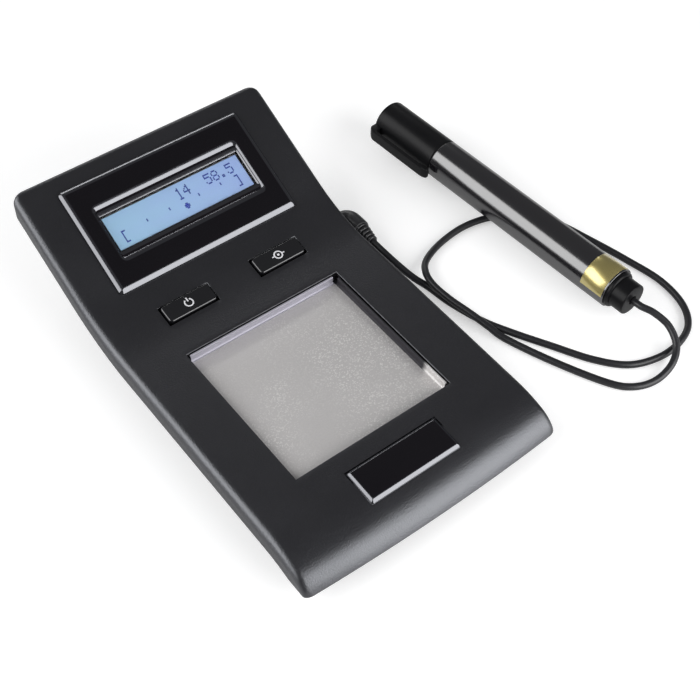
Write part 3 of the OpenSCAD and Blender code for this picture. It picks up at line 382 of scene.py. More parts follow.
def makePlateSteel():
    # satin sheet: fine grains lightened one by one as painted glints, gathered in patches, and faint rolling
    # lines
    material, tree, shader = newMaterial("plateSteel")
    place = objectPlace(tree)
    surface = grainOn(tree, place, plateLook["color"], plateLook["tint"], 0.62, 0.3, 1700.0, 38.0)
    lines = groupNode(tree, scuffGroup, Vector=place, Turn=(0, 0, 0.12), Stretch=(0.12, 1.0, 1.0),
                      Scale=1500.0, Amount=0.62)
    grains = addNode(tree, "TexVoronoi", feature="F1")
    feedAll(tree, grains.inputs, Vector=place, Scale=2300.0)
    shade = addNode(tree, "SeparateColor")
    feed(tree, shade.inputs[0], grains.outputs["Color"])
    glint = calc(tree, "GREATER_THAN", shade.outputs[0], 0.8)
    # painted glints: the brightest grains inside the noise patches are mixed towards near white
    patch = noise(tree, place, 42.0, 3.0, 0.5)
    glintPatches = calc(tree, "MULTIPLY", calc(tree, "SUBTRACT", patch, 0.36), 3.0, clamp=True)
    lit = calc(tree, "MULTIPLY", glint, glintPatches)
    color = mixColors(tree, calc(tree, "MULTIPLY", lit, 0.6), surface["Color"], plateLook["glint"])
    # the folded edges carry painted shade: the back one a darker, cooler grey, the right one nearly black
    # except near its front end
    x, y, _ = splitVector(tree, place)
    onBack = calc(tree, "GREATER_THAN", y, plateLook["backLipY"] * mm)
    onRight = calc(tree, "GREATER_THAN", x, plateLook["rightLipX"] * mm)
    paintedShadeRamp = calc(tree, "MULTIPLY", calc(tree, "SUBTRACT", y, plateLook["paintedShadeFromY"] * mm), 400.0, clamp=True)
    color = mixColors(tree, onBack, color, plateLook["backLipPaintedShade"])
    color = mixColors(tree, calc(tree, "MULTIPLY", onRight, paintedShadeRamp), color, plateLook["rightLipPaintedShade"])
    rough = calc(tree, "SUBTRACT", surface["Roughness"], calc(tree, "MULTIPLY", lines["Mask"], 0.12),
                 clamp=True)
    height = calc(tree, "MULTIPLY_ADD", lit, 0.8, surface["Height"])
    feedAll(tree, shader, Base_Color=color, Roughness=rough, Metallic=0.7,
            Normal=relief(tree, height, 0.6, 0.05))
    return material


def makeGoldFoil():
    # brushed foil: lines drawn round the barrel, a little darker in broad clouds
    material, tree, shader = newMaterial("goldFoil")
    place = objectPlace(tree)
    surface = grainOn(tree, place, (0.66, 0.56, 0.22), (0.46, 0.38, 0.12), 0.3, 0.25, 2600.0, 110.0)
    lines = groupNode(tree, scuffGroup, Vector=place, Turn=(0, 0, 0), Stretch=(1.0, 8.0, 1.0),
                      Scale=700.0, Amount=0.8)["Lines"]
    color = mixColors(tree, calc(tree, "MULTIPLY", lines, 0.5), surface["Color"], (0.78, 0.66, 0.3))
    feedAll(tree, shader, Base_Color=color, Roughness=surface["Roughness"], Metallic=0.85, Coat_Weight=1.0,
            Normal=relief(tree, lines, 0.2, 0.01))
    return material


def makeDisplayMaterial():
    # lit display: pale blue that turns slightly violet to the right, a little uneven
    material, tree, shader = newMaterial("displayBlue")
    place = addNode(tree, "UVMap", uv_map="face").outputs[0]
    uneven = calc(tree, "SUBTRACT", noise(tree, place, 3.0, 2.0, 0.5), 0.5)
    across = calc(tree, "ADD", calc(tree, "MULTIPLY", splitVector(tree, place)[0], 0.75),
                  calc(tree, "MULTIPLY", uneven, 0.5), clamp=True)
    color = mixColors(tree, across, (0.29, 0.46, 0.62), (0.29, 0.37, 0.66))
    feedAll(tree, shader, Base_Color=color, Emission_Color=color, Emission_Strength=0.45, Roughness=0.35)
    return material


def makeClearPane():
    # clear plastic with a trace of haze
    material, tree, shader = newMaterial("clearPane")
    surface = grainOn(tree, objectPlace(tree), (0.99, 0.99, 1), (0.96, 0.98, 1), 0.03, 0.05, 900.0, 35.0)
    feedAll(tree, shader, Base_Color=surface["Color"], Roughness=surface["Roughness"],
            Transmission_Weight=1.0, IOR=1.1)
    return material


def makeCellSleeve(bandFrom=15.5, capFrom=24.2):
    # shrink sleeve of a dry cell: dark body, copper-coloured bands and bare metal ends, by distance along X
    material, tree, shader = newMaterial("cellSleeve")
    place = objectPlace(tree)
    away = calc(tree, "ABSOLUTE", splitVector(tree, place)[0])
    band, bare = (calc(tree, "GREATER_THAN", away, start * mm) for start in (bandFrom, capFrom))
    surface = grainOn(tree, place, (0.018, 0.02, 0.025), (0.03, 0.033, 0.04), 0.28, 0.15, 1800.0, 70.0)
    color = mixColors(tree, band, surface["Color"], (0.45, 0.2, 0.09))
    feedAll(tree, shader, Base_Color=mixColors(tree, bare, color, (0.7, 0.7, 0.7)),
            Metallic=calc(tree, "MULTIPLY", calc(tree, "ADD", band, bare), 0.5),
            Roughness=surface["Roughness"])
    return material


materials = {name: grainMaterial(name, *values) for name, values in finishes.items()}
for made in (makePlateSteel(), makeGoldFoil(), makeDisplayMaterial(), makeClearPane(), makeCellSleeve()):
    materials[made.name] = made
print("materials made")

lie = -0.45  # height of the cord's middle where it lies on the table
cord = {"diameter": 3.0, "sides": 20, "step": 1.0,
        "route": [(65.5, 24, 5), (65.5, 17, 4.9), (66.7, 9.5, 3.2), (69, 1.5, 0.6), (71.4, -6, lie),
                  (73, -18, lie), (77, -33, lie), (82.5, -45, lie), (91, -60.5, lie), (99.5, -75.5, lie),
                  (109, -86, lie), (121, -90.6, lie), (133, -90.6, lie), (144, -86.3, lie), (151, -76.5, lie),
                  (153.2, -62, lie), (150.4, -45.5, lie), (146, -27, lie), (141, -10, lie), (133, 1.5, lie),
                  (121, 9, lie), (107, 12, lie), (92, 10.5, lie), (80.3, 6, 0.2), (73.9, -0.8, 2.6),
                  (71.5, -8.5, 3.2), (71.8, -18.5, 3.2), (74, -29.5, 2.6), (76, -38, 1.3), (78.6, -47, lie),
                  (86.2, -67.5, lie), (95.5, -87, lie), (102.3, -94.9, lie), (111.5, -98.4, 0),
                  (121.5, -97.4, 1.6), (128.6, -92.8, 3.9), (131.2, -85.3, 7.2), (129.6, -78, 9.7),
                  (127.3, -72.6, 10.4), (126.85, -68.2, 10.4)]}
# the pen's pieces, as places along its axis from the cord's end and radii
pen = {"end": (126.85, -68.2, 10.4), "turn": 93.985, "radius": 9.0, "length": 146.0, "seam": 110.5,
       "barrelFrom": 8.7, "bore": 7.7, "ringFrom": 6.8, "ringRadius": 8.2, "plugRadius": 7.0, "plugTo": 14.7,
       "capGap": 0.3, "round": 72}
penAxis = np.array([*direction(pen["turn"]), 0])


def smoothRoute(points, step):
    # a cubic through every point, whose heading at each is that from the point before to the next
    p = np.array(points, float)
    a = np.vstack([2 * p[0] - p[1], p[:-2]])
    b, c = p[:-1], p[1:]
    d = np.vstack([p[2:], 2 * p[-1] - p[-2]])
    out = []
    for k in range(len(b)):
        n = max(2, int(round(np.linalg.norm(c[k] - b[k]) / step)))
        t = (np.arange(n) / n)[:, None]
        out.append(0.5 * (2 * b[k] + (c[k] - a[k]) * t + (2 * a[k] - 5 * b[k] + 4 * c[k] - d[k]) * t ** 2
                          + (3 * b[k] - a[k] - 3 * c[k] + d[k]) * t ** 3))
    return np.vstack(out + [p[-1:]])


def tube(path, radius, sides, firstHeading, lastHeading):
    # a circle of the given radius round each point of the path, square to the path there
    ahead = np.gradient(path, axis=0)
    ahead[0], ahead[-1] = firstHeading, lastHeading
    ahead /= np.linalg.norm(ahead, axis=1)[:, None]
    across = np.cross(ahead, [0, 0, 1.0])
    across /= np.linalg.norm(across, axis=1)[:, None]
    up = np.cross(across, ahead)
    t = np.linspace(0, 2 * np.pi, sides, endpoint=False)[:, None]
    radius = np.broadcast_to(radius, len(path))[:, None, None]
    rings = path[:, None] + radius * (across[:, None] * np.cos(t) + up[:, None] * np.sin(t))
    return gridSurface(rings, closeCols=True, ends=True)


cordPath = smoothRoute(cord["route"], cord["step"])
cordPiece = makePiece("lead_cord", *tube(cordPath, cord["diameter"] / 2, cord["sides"], (0, -1, 0), penAxis),
                      "cord", "probe_lead", "cord_rubber", "probe_cord", angle=60)

plug = {"socketY": 43.0, "socketZ": 5.0, "faceX": 58.9, "handleX": 65.5, "neck": 3.5, "radius": 4.5,
        "bend": 3.2, "reliefY": 33.0, "exitY": 24.0, "ribs": 5, "ribRadius": 3.9, "ribStep": 0.35,
        "ribDepth": 1.0}


def makePlug():
    # elbow: a path that turns a right angle on a small radius, its circle growing from neck to handle
    bend, neck, full, faceX, handleX = (plug[k] for k in ("bend", "neck", "radius", "faceX", "handleX"))
    t = arc(90, 0, 10)
    x = np.concatenate([[faceX, faceX + 0.25, faceX + 1.2], handleX - bend + bend * np.cos(t),
                        np.full(7, handleX)])
    y = np.concatenate([np.full(3, plug["socketY"]), plug["socketY"] - bend + bend * np.sin(t),
                        np.linspace(plug["socketY"] - bend - 1, plug["reliefY"] + 0.5, 5),
                        [plug["reliefY"] + 0.15, plug["reliefY"]]])
    radius = np.concatenate([[neck - 0.3, neck - 0.05, neck], np.linspace(neck + 0.1, full - 0.1, 11),
                             np.full(5, full), [full - 0.15, full - 0.5]])
    path = np.column_stack([x, y, np.full(len(x), plug["socketZ"])])
    return makePiece("plug_handle", *tube(path, radius, 40, (1, 0, 0), (0, -1, 0)), "plug", "probe_lead",
                     "plug_rubber", "probe_plug", angle=40)


def makeStrainRelief():
    # ribs of falling radius with rounded shoulders, on a thinner core
    length = plug["reliefY"] - plug["exitY"]
    pitch = length / plug["ribs"]
    profile = []
    for k in range(plug["ribs"]):
        r, u = plug["ribRadius"] - plug["ribStep"] * k, k * pitch
        core = r - plug["ribDepth"]
        profile += [(u, core), (u + 0.02, r - 0.18), (u + 0.16, r), (u + pitch * 0.5, r),
                    (u + pitch * 0.6, r - 0.16), (u + pitch * 0.62, core)]
    profile += [(length - 0.15, plug["radius"] - 3.0), (length, 1.75), (length, 1.4)]
    points, faces = revolved(profile, 40)
    placed = np.column_stack([points[:, 0] + plug["handleX"], plug["reliefY"] - points[:, 2],
                              points[:, 1] + plug["socketZ"]])
    return makePiece("cord_relief", placed, faces, "plug", "probe_lead", "plug_rubber", "strain_relief",
                     angle=35)


makePlug()
makeStrainRelief()
print("plug made")

housing = {"width": 118.0, "length": 200.0, "middleY": 1.5, "deckZ": 15.5, "slope": 25.0,
           "slopeLength": 52.6, "sweepRadius": 80.0, "browRadius": 60.0, "browTurn": 16.0,
           "noseRadius": 15.5, "noseTurn": 78.0, "bow": 2.0, "noseCorner": 4.4, "noseEdge": 2.6,
           "corner": 5.0, "edge": 3.5, "crest": 2.5, "wall": 2.5, "skirt": 8.0, "lipZ": 5.5, "lip": 0.35,
           "rimHeight": 1.2, "seatGap": 0.2, "seatStep": 0.02, "moduleHole": (71.4, 24.4),
           "buttonWell": 4.0, "holesOver": 8.0}
bezel = {"width": 85.3, "length": 48.2, "height": 2.3, "bevel": 2.4, "side": 1.05, "corner": 1.6,
         "fromBack": 10, "viewWidth": 66.0, "viewLength": 16.6, "outerBand": 2.1, "gap": 0.9,
         "innerBand": 1.8, "sideBand": 0.7}
button = {"x": 21.7, "turn": 9.1, "width": 22.2, "length": 8.3, "proud": 1.4, "gap": 0.55, "corner": 1.6,
          "edge": 0.7, "flange": 1.0, "flangeLow": -3.8, "flangeTop": -2.8, "stemLow": -8.1,
          "stemRadius": 1.5}
plate = {"width": 71.0, "length": 69.5, "y": -23.0, "sheet": 0.8, "depth": 3.6, "gap": 0.75,
         "lip": 3.4, "lipBend": 0.9, "lipChamfer": 0.12, "lipShorter": 2.4, "lipShift": 0.9, "lipLift": 0.02}
badge = {"width": 42.1, "length": 15.9, "thick": 1.9, "tilt": 2.3, "front": 15.5, "bevel": 1.6}

# stations of the housing's side outline, from the radii and turns of its bends
h = housing
halfLength = h["length"] / 2
backY, frontY = h["middleY"] + halfLength, h["middleY"] - halfLength
slopeCos, slopeSin = direction(h["slope"])
browCos, browSin = direction(h["browTurn"])
noseCos, noseSin = direction(h["noseTurn"])
slopeTan = slopeSin / slopeCos
slopeY0 = backY - h["slopeLength"] * slopeCos
slopeZ0 = h["deckZ"] + h["sweepRadius"] * (1 - slopeCos)
sweepY = slopeY0 - h["sweepRadius"] * slopeSin
crestRun = h["slopeLength"] - h["crest"] * (1 + slopeSin) / slopeCos
crestY = backY - h["crest"]
crestZ = slopeZ0 + crestRun * slopeSin - h["crest"] * slopeCos
noseEndZ = h["deckZ"] - h["browRadius"] * (1 - browCos) - h["noseRadius"] * (browCos - noseCos)
deckY0 = (frontY + noseEndZ * noseCos / noseSin + h["noseRadius"] * (noseSin - browSin)
          + h["browRadius"] * browSin)
noseY = deckY0 - (h["browRadius"] - h["noseRadius"]) * browSin
noseZ = h["deckZ"] - h["browRadius"] + (h["browRadius"] - h["noseRadius"]) * browCos
plateFloor = h["deckZ"] - plate["depth"]

# where the display frame, the buttons and the badge sit on it
bezelRun = h["slopeLength"] - bezel["fromBack"] - bezel["length"] / 2
slopeOrigin = (0, slopeY0 + bezelRun * slopeCos, slopeZ0 + bezelRun * slopeSin)
buttonCos, buttonSin = direction(button["turn"])
buttonOrigin = np.array([0, sweepY + h["sweepRadius"] * buttonSin,
                         h["deckZ"] + h["sweepRadius"] * (1 - buttonCos)])
badgeRise = np.tan(np.radians(badge["tilt"]))
badgeY = frontY + badge["front"] + badge["length"] / 2
badgeDrop = h["browRadius"] - np.sqrt(h["browRadius"] ** 2 - (deckY0 - frontY - badge["front"]) ** 2)
badgeZ = h["deckZ"] - badgeDrop + badge["length"] / 2 * badgeRise


def circleHeight(radius, away):
    # height of a circle over its middle at a distance from it, and nothing past its end
    return np.sqrt(np.maximum(radius ** 2 - away ** 2, 0))


def surfaceHeight(y, depth=0.0):
    # side outline moved inwards: straight slope, hollow sweep, level deck, gentle bend, tight nose
    y = np.asarray(y, float)
    slopeLine = slopeZ0 - depth * slopeCos + (y - slopeY0 - depth * slopeSin) * slopeTan
    sweep = h["deckZ"] + h["sweepRadius"] - circleHeight(h["sweepRadius"] + depth, y - sweepY)
    brow = h["deckZ"] - h["browRadius"] + circleHeight(h["browRadius"] - depth, deckY0 - y)
    nose = noseZ + circleHeight(h["noseRadius"] - depth, noseY - y)
    z = np.where(y > slopeY0 + depth * slopeSin, slopeLine, sweep)
    z = np.where(y > sweepY, z, h["deckZ"] - depth)
    z = np.where(y > deckY0, z, brow)
    z = np.where(y > deckY0 - (h["browRadius"] - depth) * browSin, z, nose)
    if depth < h["crest"]:
        crest = crestZ + circleHeight(h["crest"] - depth, y - crestY)
        z = np.where(y > crestY - h["crest"] * slopeSin, crest, z)
        noseEnd = noseY - (h["noseRadius"] - depth) * noseSin
        z = np.where(y > noseEnd, z, noseEndZ - (noseEnd - y) * noseSin / noseCos)
    return z


def halfWidth(y):
    # the corners of the nose are tighter than those of the back
    corner = np.where(y < 0, h["noseCorner"], h["corner"])
    inCorner = np.maximum(0, np.abs(y - h["middleY"]) - halfLength + corner)
    return h["width"] / 2 - corner + circleHeight(corner, inCorner)


def filled(lines, gap, close=0.004):
    # sorted grid lines with none closer than close and none further apart than gap
    lines = np.sort(np.asarray(lines, float))
    lines = lines[np.concatenate([[True], np.diff(lines) > close])]
    out = [lines[:1]]
    for a, b in zip(lines, lines[1:]):
        out.append(np.linspace(a, b, max(1, int(np.ceil((b - a) / gap))) + 1)[1:])
    return np.concatenate(out)


def openings():
    # holes in the shell, as (centre x, centre y, half width, half length, depth of the walls, rounded lip)
    w = button["width"] / 2 + button["gap"]
    l = (button["length"] / 2 + button["gap"]) * buttonCos
    holes = [(side * button["x"], buttonOrigin[1], w, l, h["buttonWell"], True) for side in (-1, 1)]
    holes.append((0, plate["y"], plate["width"] / 2 + plate["gap"], plate["length"] / 2 + plate["gap"],
                  None, True))
    w, l = h["moduleHole"]
    return holes + [(0, slopeOrigin[1], w / 2, l / 2 * slopeCos, h["wall"], False)]


def seats():
    # flat seats of the badge and the display frame: centre y, height there, rise, half width, half length
    gap = h["seatGap"]
    return [(badgeY, badgeZ, badgeRise, badge["width"] / 2 + gap, badge["length"] / 2 + gap),
            (slopeOrigin[1], slopeOrigin[2], slopeTan, bezel["width"] / 2 + gap,
             (bezel["length"] / 2 + gap) * slopeCos)]


def lowered(x, y, z):
    # rounded lips: z falls by r - sqrt(r^2 - (r - e)^2) at distance e from a hole's edge; flat seats cut in
    r = h["lip"]
    for cx, cy, hw, hl, _, lip in openings():
        if lip:
            e = np.hypot(np.maximum(np.abs(x - cx) - hw, 0), np.maximum(np.abs(y - cy) - hl, 0))
            z = z - np.where(e < r, r - circleHeight(r, r - e), 0)
    edge = h["seatStep"] / 2
    for cy, cz, rise, hw, hl in seats():
        inSeat = (np.abs(x) < hw + edge) & (np.abs(y - cy) < hl + edge)
        z = np.where(inSeat, np.minimum(z, cz + (y - cy) * rise), z)
    return z


def housingLines():
    # grid lines across and along: at every edge of a hole or seat, close together in each bend
    flat = h["width"] / 2 - h["edge"]
    lipY = noseY - np.sqrt(h["noseRadius"] ** 2 - (h["lipZ"] - noseZ) ** 2)
    xs, ys = [-flat, flat], [lipY, backY, slopeY0, sweepY, deckY0, deckY0 - h["browRadius"] * browSin]
    lipSteps = h["lip"] * (1 - np.cos(arc(0, 90, 4)))
    edges = [(cx, cy, hw, hl, lipSteps if lip else [0]) for cx, cy, hw, hl, _, lip in openings()]
    edges += [(0, cy, hw, hl, [0, h["seatStep"]]) for cy, _, _, hw, hl in seats()]
    for cx, cy, hw, hl, steps in edges:
        for side in (-1, 1):
            xs += [cx + side * (hw + e) for e in steps]
            ys += [cy + side * (hl + e) for e in steps]
    cornerRun = h["corner"] - h["corner"] * np.sin(arc(0, 90, 16))
    ys += [*(backY - cornerRun), *(frontY + cornerRun),
           *(crestY + h["crest"] * np.sin(arc(-h["slope"], 90, 14))),
           *(noseY - h["noseRadius"] * np.sin(arc(h["browTurn"], h["noseTurn"], 14)))]
    ys = np.array(ys)
    return filled(xs, 3.0), filled(ys[ys >= lipY], 2.2, 0.015)


def bowed(points):
    # seen from above the front edge is a flat arc: moved back by bow (x / half width)^2 share^2,
    # where share is 0 at the front end of the level deck and 1 at the nose
    share = np.clip((deckY0 - points[:, 1]) / (deckY0 - frontY), 0, 1)
    moved = points.copy()
    moved[:, 1] += h["bow"] * (points[:, 0] / (h["width"] / 2)) ** 2 * share ** 2
    return moved


def planNormal(points):
    # outward normal, seen from above, of the rounded rectangle on which the points lie
    half = np.array([h["width"] / 2 - h["corner"], halfLength - h["corner"]])
    fromMiddle = points[:, :2] - [0, h["middleY"]]
    d = np.sign(fromMiddle) * np.maximum(np.abs(fromMiddle) - half, 0)
    size = np.linalg.norm(d, axis=1)[:, None]
    return np.where(size > 1e-6, d / np.maximum(size, 1e-6), 0)


def wellWalls(xs, ys, cx, cy, hw, hl, depth):
    # walls straight down from a hole's edge, and the plate's pocket has a floor
    x = xs[np.abs(xs - cx) < hw + 1e-3]
    y = ys[np.abs(ys - cy) < hl + 1e-3]
    loop = np.vstack([np.column_stack([x, np.full(len(x), y[0])]),
                      np.column_stack([np.full(len(y) - 1, x[-1]), y[1:]]),
                      np.column_stack([x[-2::-1], np.full(len(x) - 1, y[-1])]),
                      np.column_stack([np.full(len(y) - 2, x[0]), y[-2:0:-1]])])
    top = lowered(loop[:, 0], loop[:, 1], surfaceHeight(loop[:, 1]))
    low = np.full(len(loop), plateFloor - plate["sheet"]) if depth is None else top - depth
    points, faces = gridSurface(np.array([np.column_stack([loop, top]), np.column_stack([loop, low])]),
                                closeCols=True)
    if depth is None:
        faces.append(list(range(len(loop), 2 * len(loop))))
    return points, faces


def makeHousing():
    # sections along Y: up the left wall, round the edge, across the top, round the edge and down again
    xs, ys = housingLines()
    z = np.maximum(surfaceHeight(ys), h["lipZ"])[:, None]
    bottom = np.maximum(surfaceHeight(ys, h["skirt"]), h["lipZ"])[:, None]
    edge = np.interp(ys, [frontY, deckY0], [h["noseEdge"], h["edge"]])[:, None]
    mid = halfWidth(ys)[:, None] - edge
    least = np.arcsin(np.clip((edge - (z - bottom)) / edge, 0, 1))
    turn = least + (np.pi / 2 - least) * np.linspace(0, 1, 9)[:-1]
    armX, armZ = mid + edge * np.cos(turn), z - edge + edge * np.sin(turn)
    up = np.linspace(0, 1, 4)[:-1]
    wallX, wallZ = armX[:, :1] + 0 * up, bottom + (armZ[:, :1] - bottom) * up
    topX = xs * mid / (h["width"] / 2 - h["edge"])
    topZ = lowered(topX, ys[:, None], z + 0 * topX)
    gridX = np.hstack([-wallX, -armX, topX, armX[:, ::-1], wallX[:, ::-1]])
    gridZ = np.hstack([wallZ, armZ, topZ, armZ[:, ::-1], wallZ[:, ::-1]])
    grid = np.stack([gridX, ys[:, None] + 0 * gridX, gridZ], axis=-1)
    # back wall: the last section drawn again at the height of the skirt
    last = grid[-1:].copy()
    last[..., 2] = bottom[-1]
    grid = np.concatenate([grid, last])
    rows, cols = grid.shape[:2]
    points, faces = bowed(grid.reshape(-1, 3)), gridFaces(rows, cols)
    middle = points[faces].mean(axis=1)
    keep = np.ones(len(faces), bool)
    wells = []
    for cx, cy, hw, hl, depth, _ in openings():
        keep &= ~((np.abs(middle[:, 0] - cx) < hw) & (np.abs(middle[:, 1] - cy) < hl)
                  & (middle[:, 2] > h["holesOver"]))
        wells.append(wellWalls(xs, ys, cx, cy, hw, hl, depth))
    # rim of the skirt: the boundary, the same moved in by the wall, and a short way up inside
    border = np.concatenate([np.arange(rows) * cols, (rows - 1) * cols + np.arange(1, cols),
                             np.arange(rows - 2, -1, -1) * cols + cols - 1, np.arange(cols - 2, 0, -1)])
    outer = points[border]
    inner = outer.copy()
    inner[:, :2] -= planNormal(outer) * h["wall"]
    inner[:, 2] = np.maximum(surfaceHeight(inner[:, 1], h["skirt"]), h["lipZ"])
    rim = gridSurface(np.array([outer, inner, inner + [0, 0, h["rimHeight"]]]), closeCols=True)
    makePiece("top_shell", *joined((points, faces[keep]), *wells, rim), "housing", "root", "housing_black",
              "upper_housing", angle=32)


makeHousing()
print("upper housing made")

# the display module, as heights above the slope: its frame, the view in it, the glass and the pane
module = {"frame": (71.2, 24.2), "frameTop": -0.2, "frameLow": -7.5, "view": (64.5, 15.1),
          "glass": (69.8, 22.8, 0.3), "glassTop": -0.74, "glassLow": -2.92,
          "pane": (69.0, 19.6, 0.4), "paneLow": 0.04, "paneTop": 0.76}


def onSlope(surface):
    return tilted(surface[0], h["slope"], slopeOrigin), surface[1]


def polishBevels(piece, lean):
    # faces that lean more than ten degrees away from the flat of the piece take the polished finish
    mesh = piece.data
    mesh.materials.append(materials["bezelEdge"])
    normals = np.empty(len(mesh.polygons) * 3)
    mesh.polygons.foreach_get("normal", normals)
    c, s = direction(lean)
    upright = normals.reshape(-1, 3) @ np.array([0, -s, c])
    mesh.polygons.foreach_set("material_index", (upright < direction(10)[0]).astype(np.int32))


def makeBezel():
    # loops from the seat up the side, over the bevel, across the top, down two bands to the pane
    b = bezel
    levels = [(b["width"], b["length"], b["corner"], 0.0)]
    levels += pillowed(b["width"], b["length"], b["corner"], b["side"], b["height"], b["bevel"])
    side, inner, top = b["sideBand"], b["innerBand"], b["height"]
    outer = inner + b["gap"] + b["outerBand"]
    # each loop of the window: how far it lies outside the view across and along, and its height
    for across, along, z in ((2 * side + 0.25, outer + 0.1, top), (2 * side + 0.1, outer - 0.15, top - 0.06),
                             (side + 0.05, inner + b["gap"] + 0.1, top - 0.76),
                             (side - 0.02, inner + b["gap"], top - 0.9),
                             (side - 0.1, inner + 0.08, top - 0.92),
                             (side - 0.14, inner - 0.06, top - 0.94), (0.06, 0.15, top - 1.42),
                             (0.0, 0.0, top - 1.5), (0.0, 0.0, 0.0)):
        levels.append((b["viewWidth"] + 2 * across, b["viewLength"] + 2 * along, 0.4 + 0.4 * along, z))
    piece = makePiece("screen_bezel", *onSlope(loopStack(levels, closed=True, steps=5)), "bezel", "root",
                      "bezel_black", "display_bezel", angle=34)
    polishBevels(piece, h["slope"])


def makeDisplayFrame():
    # pressed metal frame: an open box whose top is turned in to the view
    (w, l), (viewW, viewL) = module["frame"], module["view"]
    top, low = module["frameTop"], module["frameLow"]
    levels = [(w - 1, l - 1, 0.3, low), (w, l, 0.5, low), (w, l, 0.6, top - 0.35),
              (w - 0.2, l - 0.2, 0.5, top - 0.1), (w - 0.7, l - 0.7, 0.4, top),
              (viewW + 0.6, viewL + 0.6, 0.5, top), (viewW + 0.1, viewL + 0.1, 0.4, top - 0.12),
              (viewW, viewL, 0.4, top - 0.5), (w - 1, l - 1, 0.3, top - 0.5)]
    makePiece("module_frame", *onSlope(loopStack(levels, closed=True)), "moduleMetal", "root",
              "module_metal", "lcd_frame")


def makeDisplayGlass():
    surface = slab(module["glass"], module["glassLow"], module["glassTop"], 0.2, 0.2)
    mesh = makePiece("module_glass", *onSlope(surface), "displayBlue", "root", "display_blue",
                     "lcd_glass").data
    # UV map over the face: 0 to 1 across the view and along it
    layer = mesh.uv_layers.new(name="face")
    flat = np.empty(len(mesh.vertices) * 3)
    mesh.vertices.foreach_get("co", flat)
    x, y, z = flat.reshape(-1, 3).T / mm
    run = (y - slopeOrigin[1]) * slopeCos + (z - slopeOrigin[2]) * slopeSin
    uv = np.column_stack([x / module["view"][0] + 0.5, run / module["view"][1] + 0.5])
    index = np.empty(len(mesh.loops), int)
    mesh.loops.foreach_get("vertex_index", index)
    layer.data.foreach_set("uv", uv[index].ravel())


# rows of five dots of each sign, from its top, two hexadecimal digits a row
signRows = {"1": "040C04040404040E", "4": "02060A121F020200", "5": "1F101E0101110E00",
            "8": "0E11110E11110E00", ".": "00000000000C0C00", "'": "0404000000000000",
            "[": "1C1010101010101C", "]": "0701010101010107", "#": "0000060F0F060000",
            " ": "0000000000000000"}
display = {"text": ("        14  58.5", "[  '  ' # '  ' ]"), "pitch": (3.55, 5.95), "dotPitch": (0.6, 0.68),
           "dot": (0.53, 0.6), "low": -0.74, "top": -0.71}


def makeDots():
    # every lit dot of the character cells is a small raised rectangle
    codes = np.array([[list(bytes.fromhex(signRows[sign])) for sign in text] for text in display["text"]])
    row, column, line, dot = np.nonzero(codes[..., None] >> (4 - np.arange(5)) & 1)
    (pitchX, pitchY), (dotX, dotY) = display["pitch"], display["dotPitch"]
    centres = np.column_stack([(column - 7.5) * pitchX + (dot - 2) * dotX,
                               (0.5 - row) * pitchY + (3.5 - line) * dotY])
    corners = np.array([[-1, -1], [1, -1], [1, 1], [-1, 1]]) * display["dot"] / 2
    flat = (centres[:, None] + corners).reshape(-1, 2)
    n = len(flat)
    points = np.vstack([np.column_stack([flat, np.full(n, z)]) for z in (display["top"], display["low"])])
    k = np.arange(0, n, 4)[:, None]
    sides = [np.column_stack([k + a, k + b, k + b + n, k + a + n])
             for a, b in ((1, 0), (2, 1), (3, 2), (0, 3))]
    faces = np.vstack([k + [0, 1, 2, 3], *sides, k + n + [3, 2, 1, 0]])
    makePiece("display_dots", *onSlope((points, faces)), "displayInk", "root", "display_blue")


makeBezel()
makePiece("screen_pane", *onSlope(slab(module["pane"], module["paneLow"], module["paneTop"], 0.1, 0.06)),
          "clearPane", "root", "window", "display_lens")
makeDisplayFrame()
makeDisplayGlass()
makeDots()
print("display made")

iconTop = button["proud"] - 0.02
iconLow = iconTop - 0.06


def onSweep(surface, side):
    # onto the left (-1) or right (1) button's place
    return tilted(surface[0] + [side * button["x"], 0, 0], button["turn"], buttonOrigin), surface[1]


def makeButton(name, side, node):
    # flange below the shell, straight cap with a rounded edge and a face that is very slightly hollow, stem
    b = button
    w, l, top, flange = b["width"], b["length"], b["proud"], 2 * (b["gap"] + b["flange"])
    levels = [(w + flange, l + flange, 0.5, b["flangeLow"]), (w + flange, l + flange, 0.5, b["flangeTop"]),
              (w, l, b["corner"], b["flangeTop"])]
    levels += roundEdge(w, l, b["corner"], top, b["edge"], 6)
    levels += [(w - 3, l - 3, 0.4, top - 0.03), (w - 6, l - 6, 0.3, top - 0.05)]
    low, high, r = b["stemLow"], b["flangeLow"] + 0.1, b["stemRadius"]
    stem = revolved([(low, 0), (low, r - 0.2), (low + 0.2, r), (high, r), (high, 0)], 24)
    makePiece(name, *onSweep(joined(loopStack(levels), stem), side), "button", node, "button_black", node,
              angle=34)


def band(radiusIn, radiusOut, fromDeg, toDeg, steps):
    profile = [(radiusIn, iconLow), (radiusOut, iconLow), (radiusOut, iconTop), (radiusIn, iconTop)]
    return sector(profile, fromDeg, toDeg, steps)


def bar(x0, x1, y0, y1):
    corners = [(x0, y0), (x1, y0), (x1, y1), (x0, y1)]
    grid = np.array([[(x, y, z) for x, y in corners] for z in (iconLow, iconTop)])
    return gridSurface(grid, closeCols=True, ends=True)


def makeIcon(name, side, body, *parts):
    makePiece(name, *onSweep(joined(*parts), side), "print", body, "button_black")


makeButton("left_button", -1, "mode_button")
makeButton("right_button", 1, "cal_button")
makeIcon("power_mark", -1, "mode_button", band(1.45, 2.0, 122, 418, 40), bar(-0.28, 0.28, 0.6, 2.5))
makeIcon("target_mark", 1, "cal_button", band(1.45, 2.0, 0, 360, 48), band(0.02, 0.55, 0, 360, 24),
         bar(1.9, 3.0, -0.25, 0.25), bar(-3.0, -1.9, -0.25, 0.25))
print("buttons made")


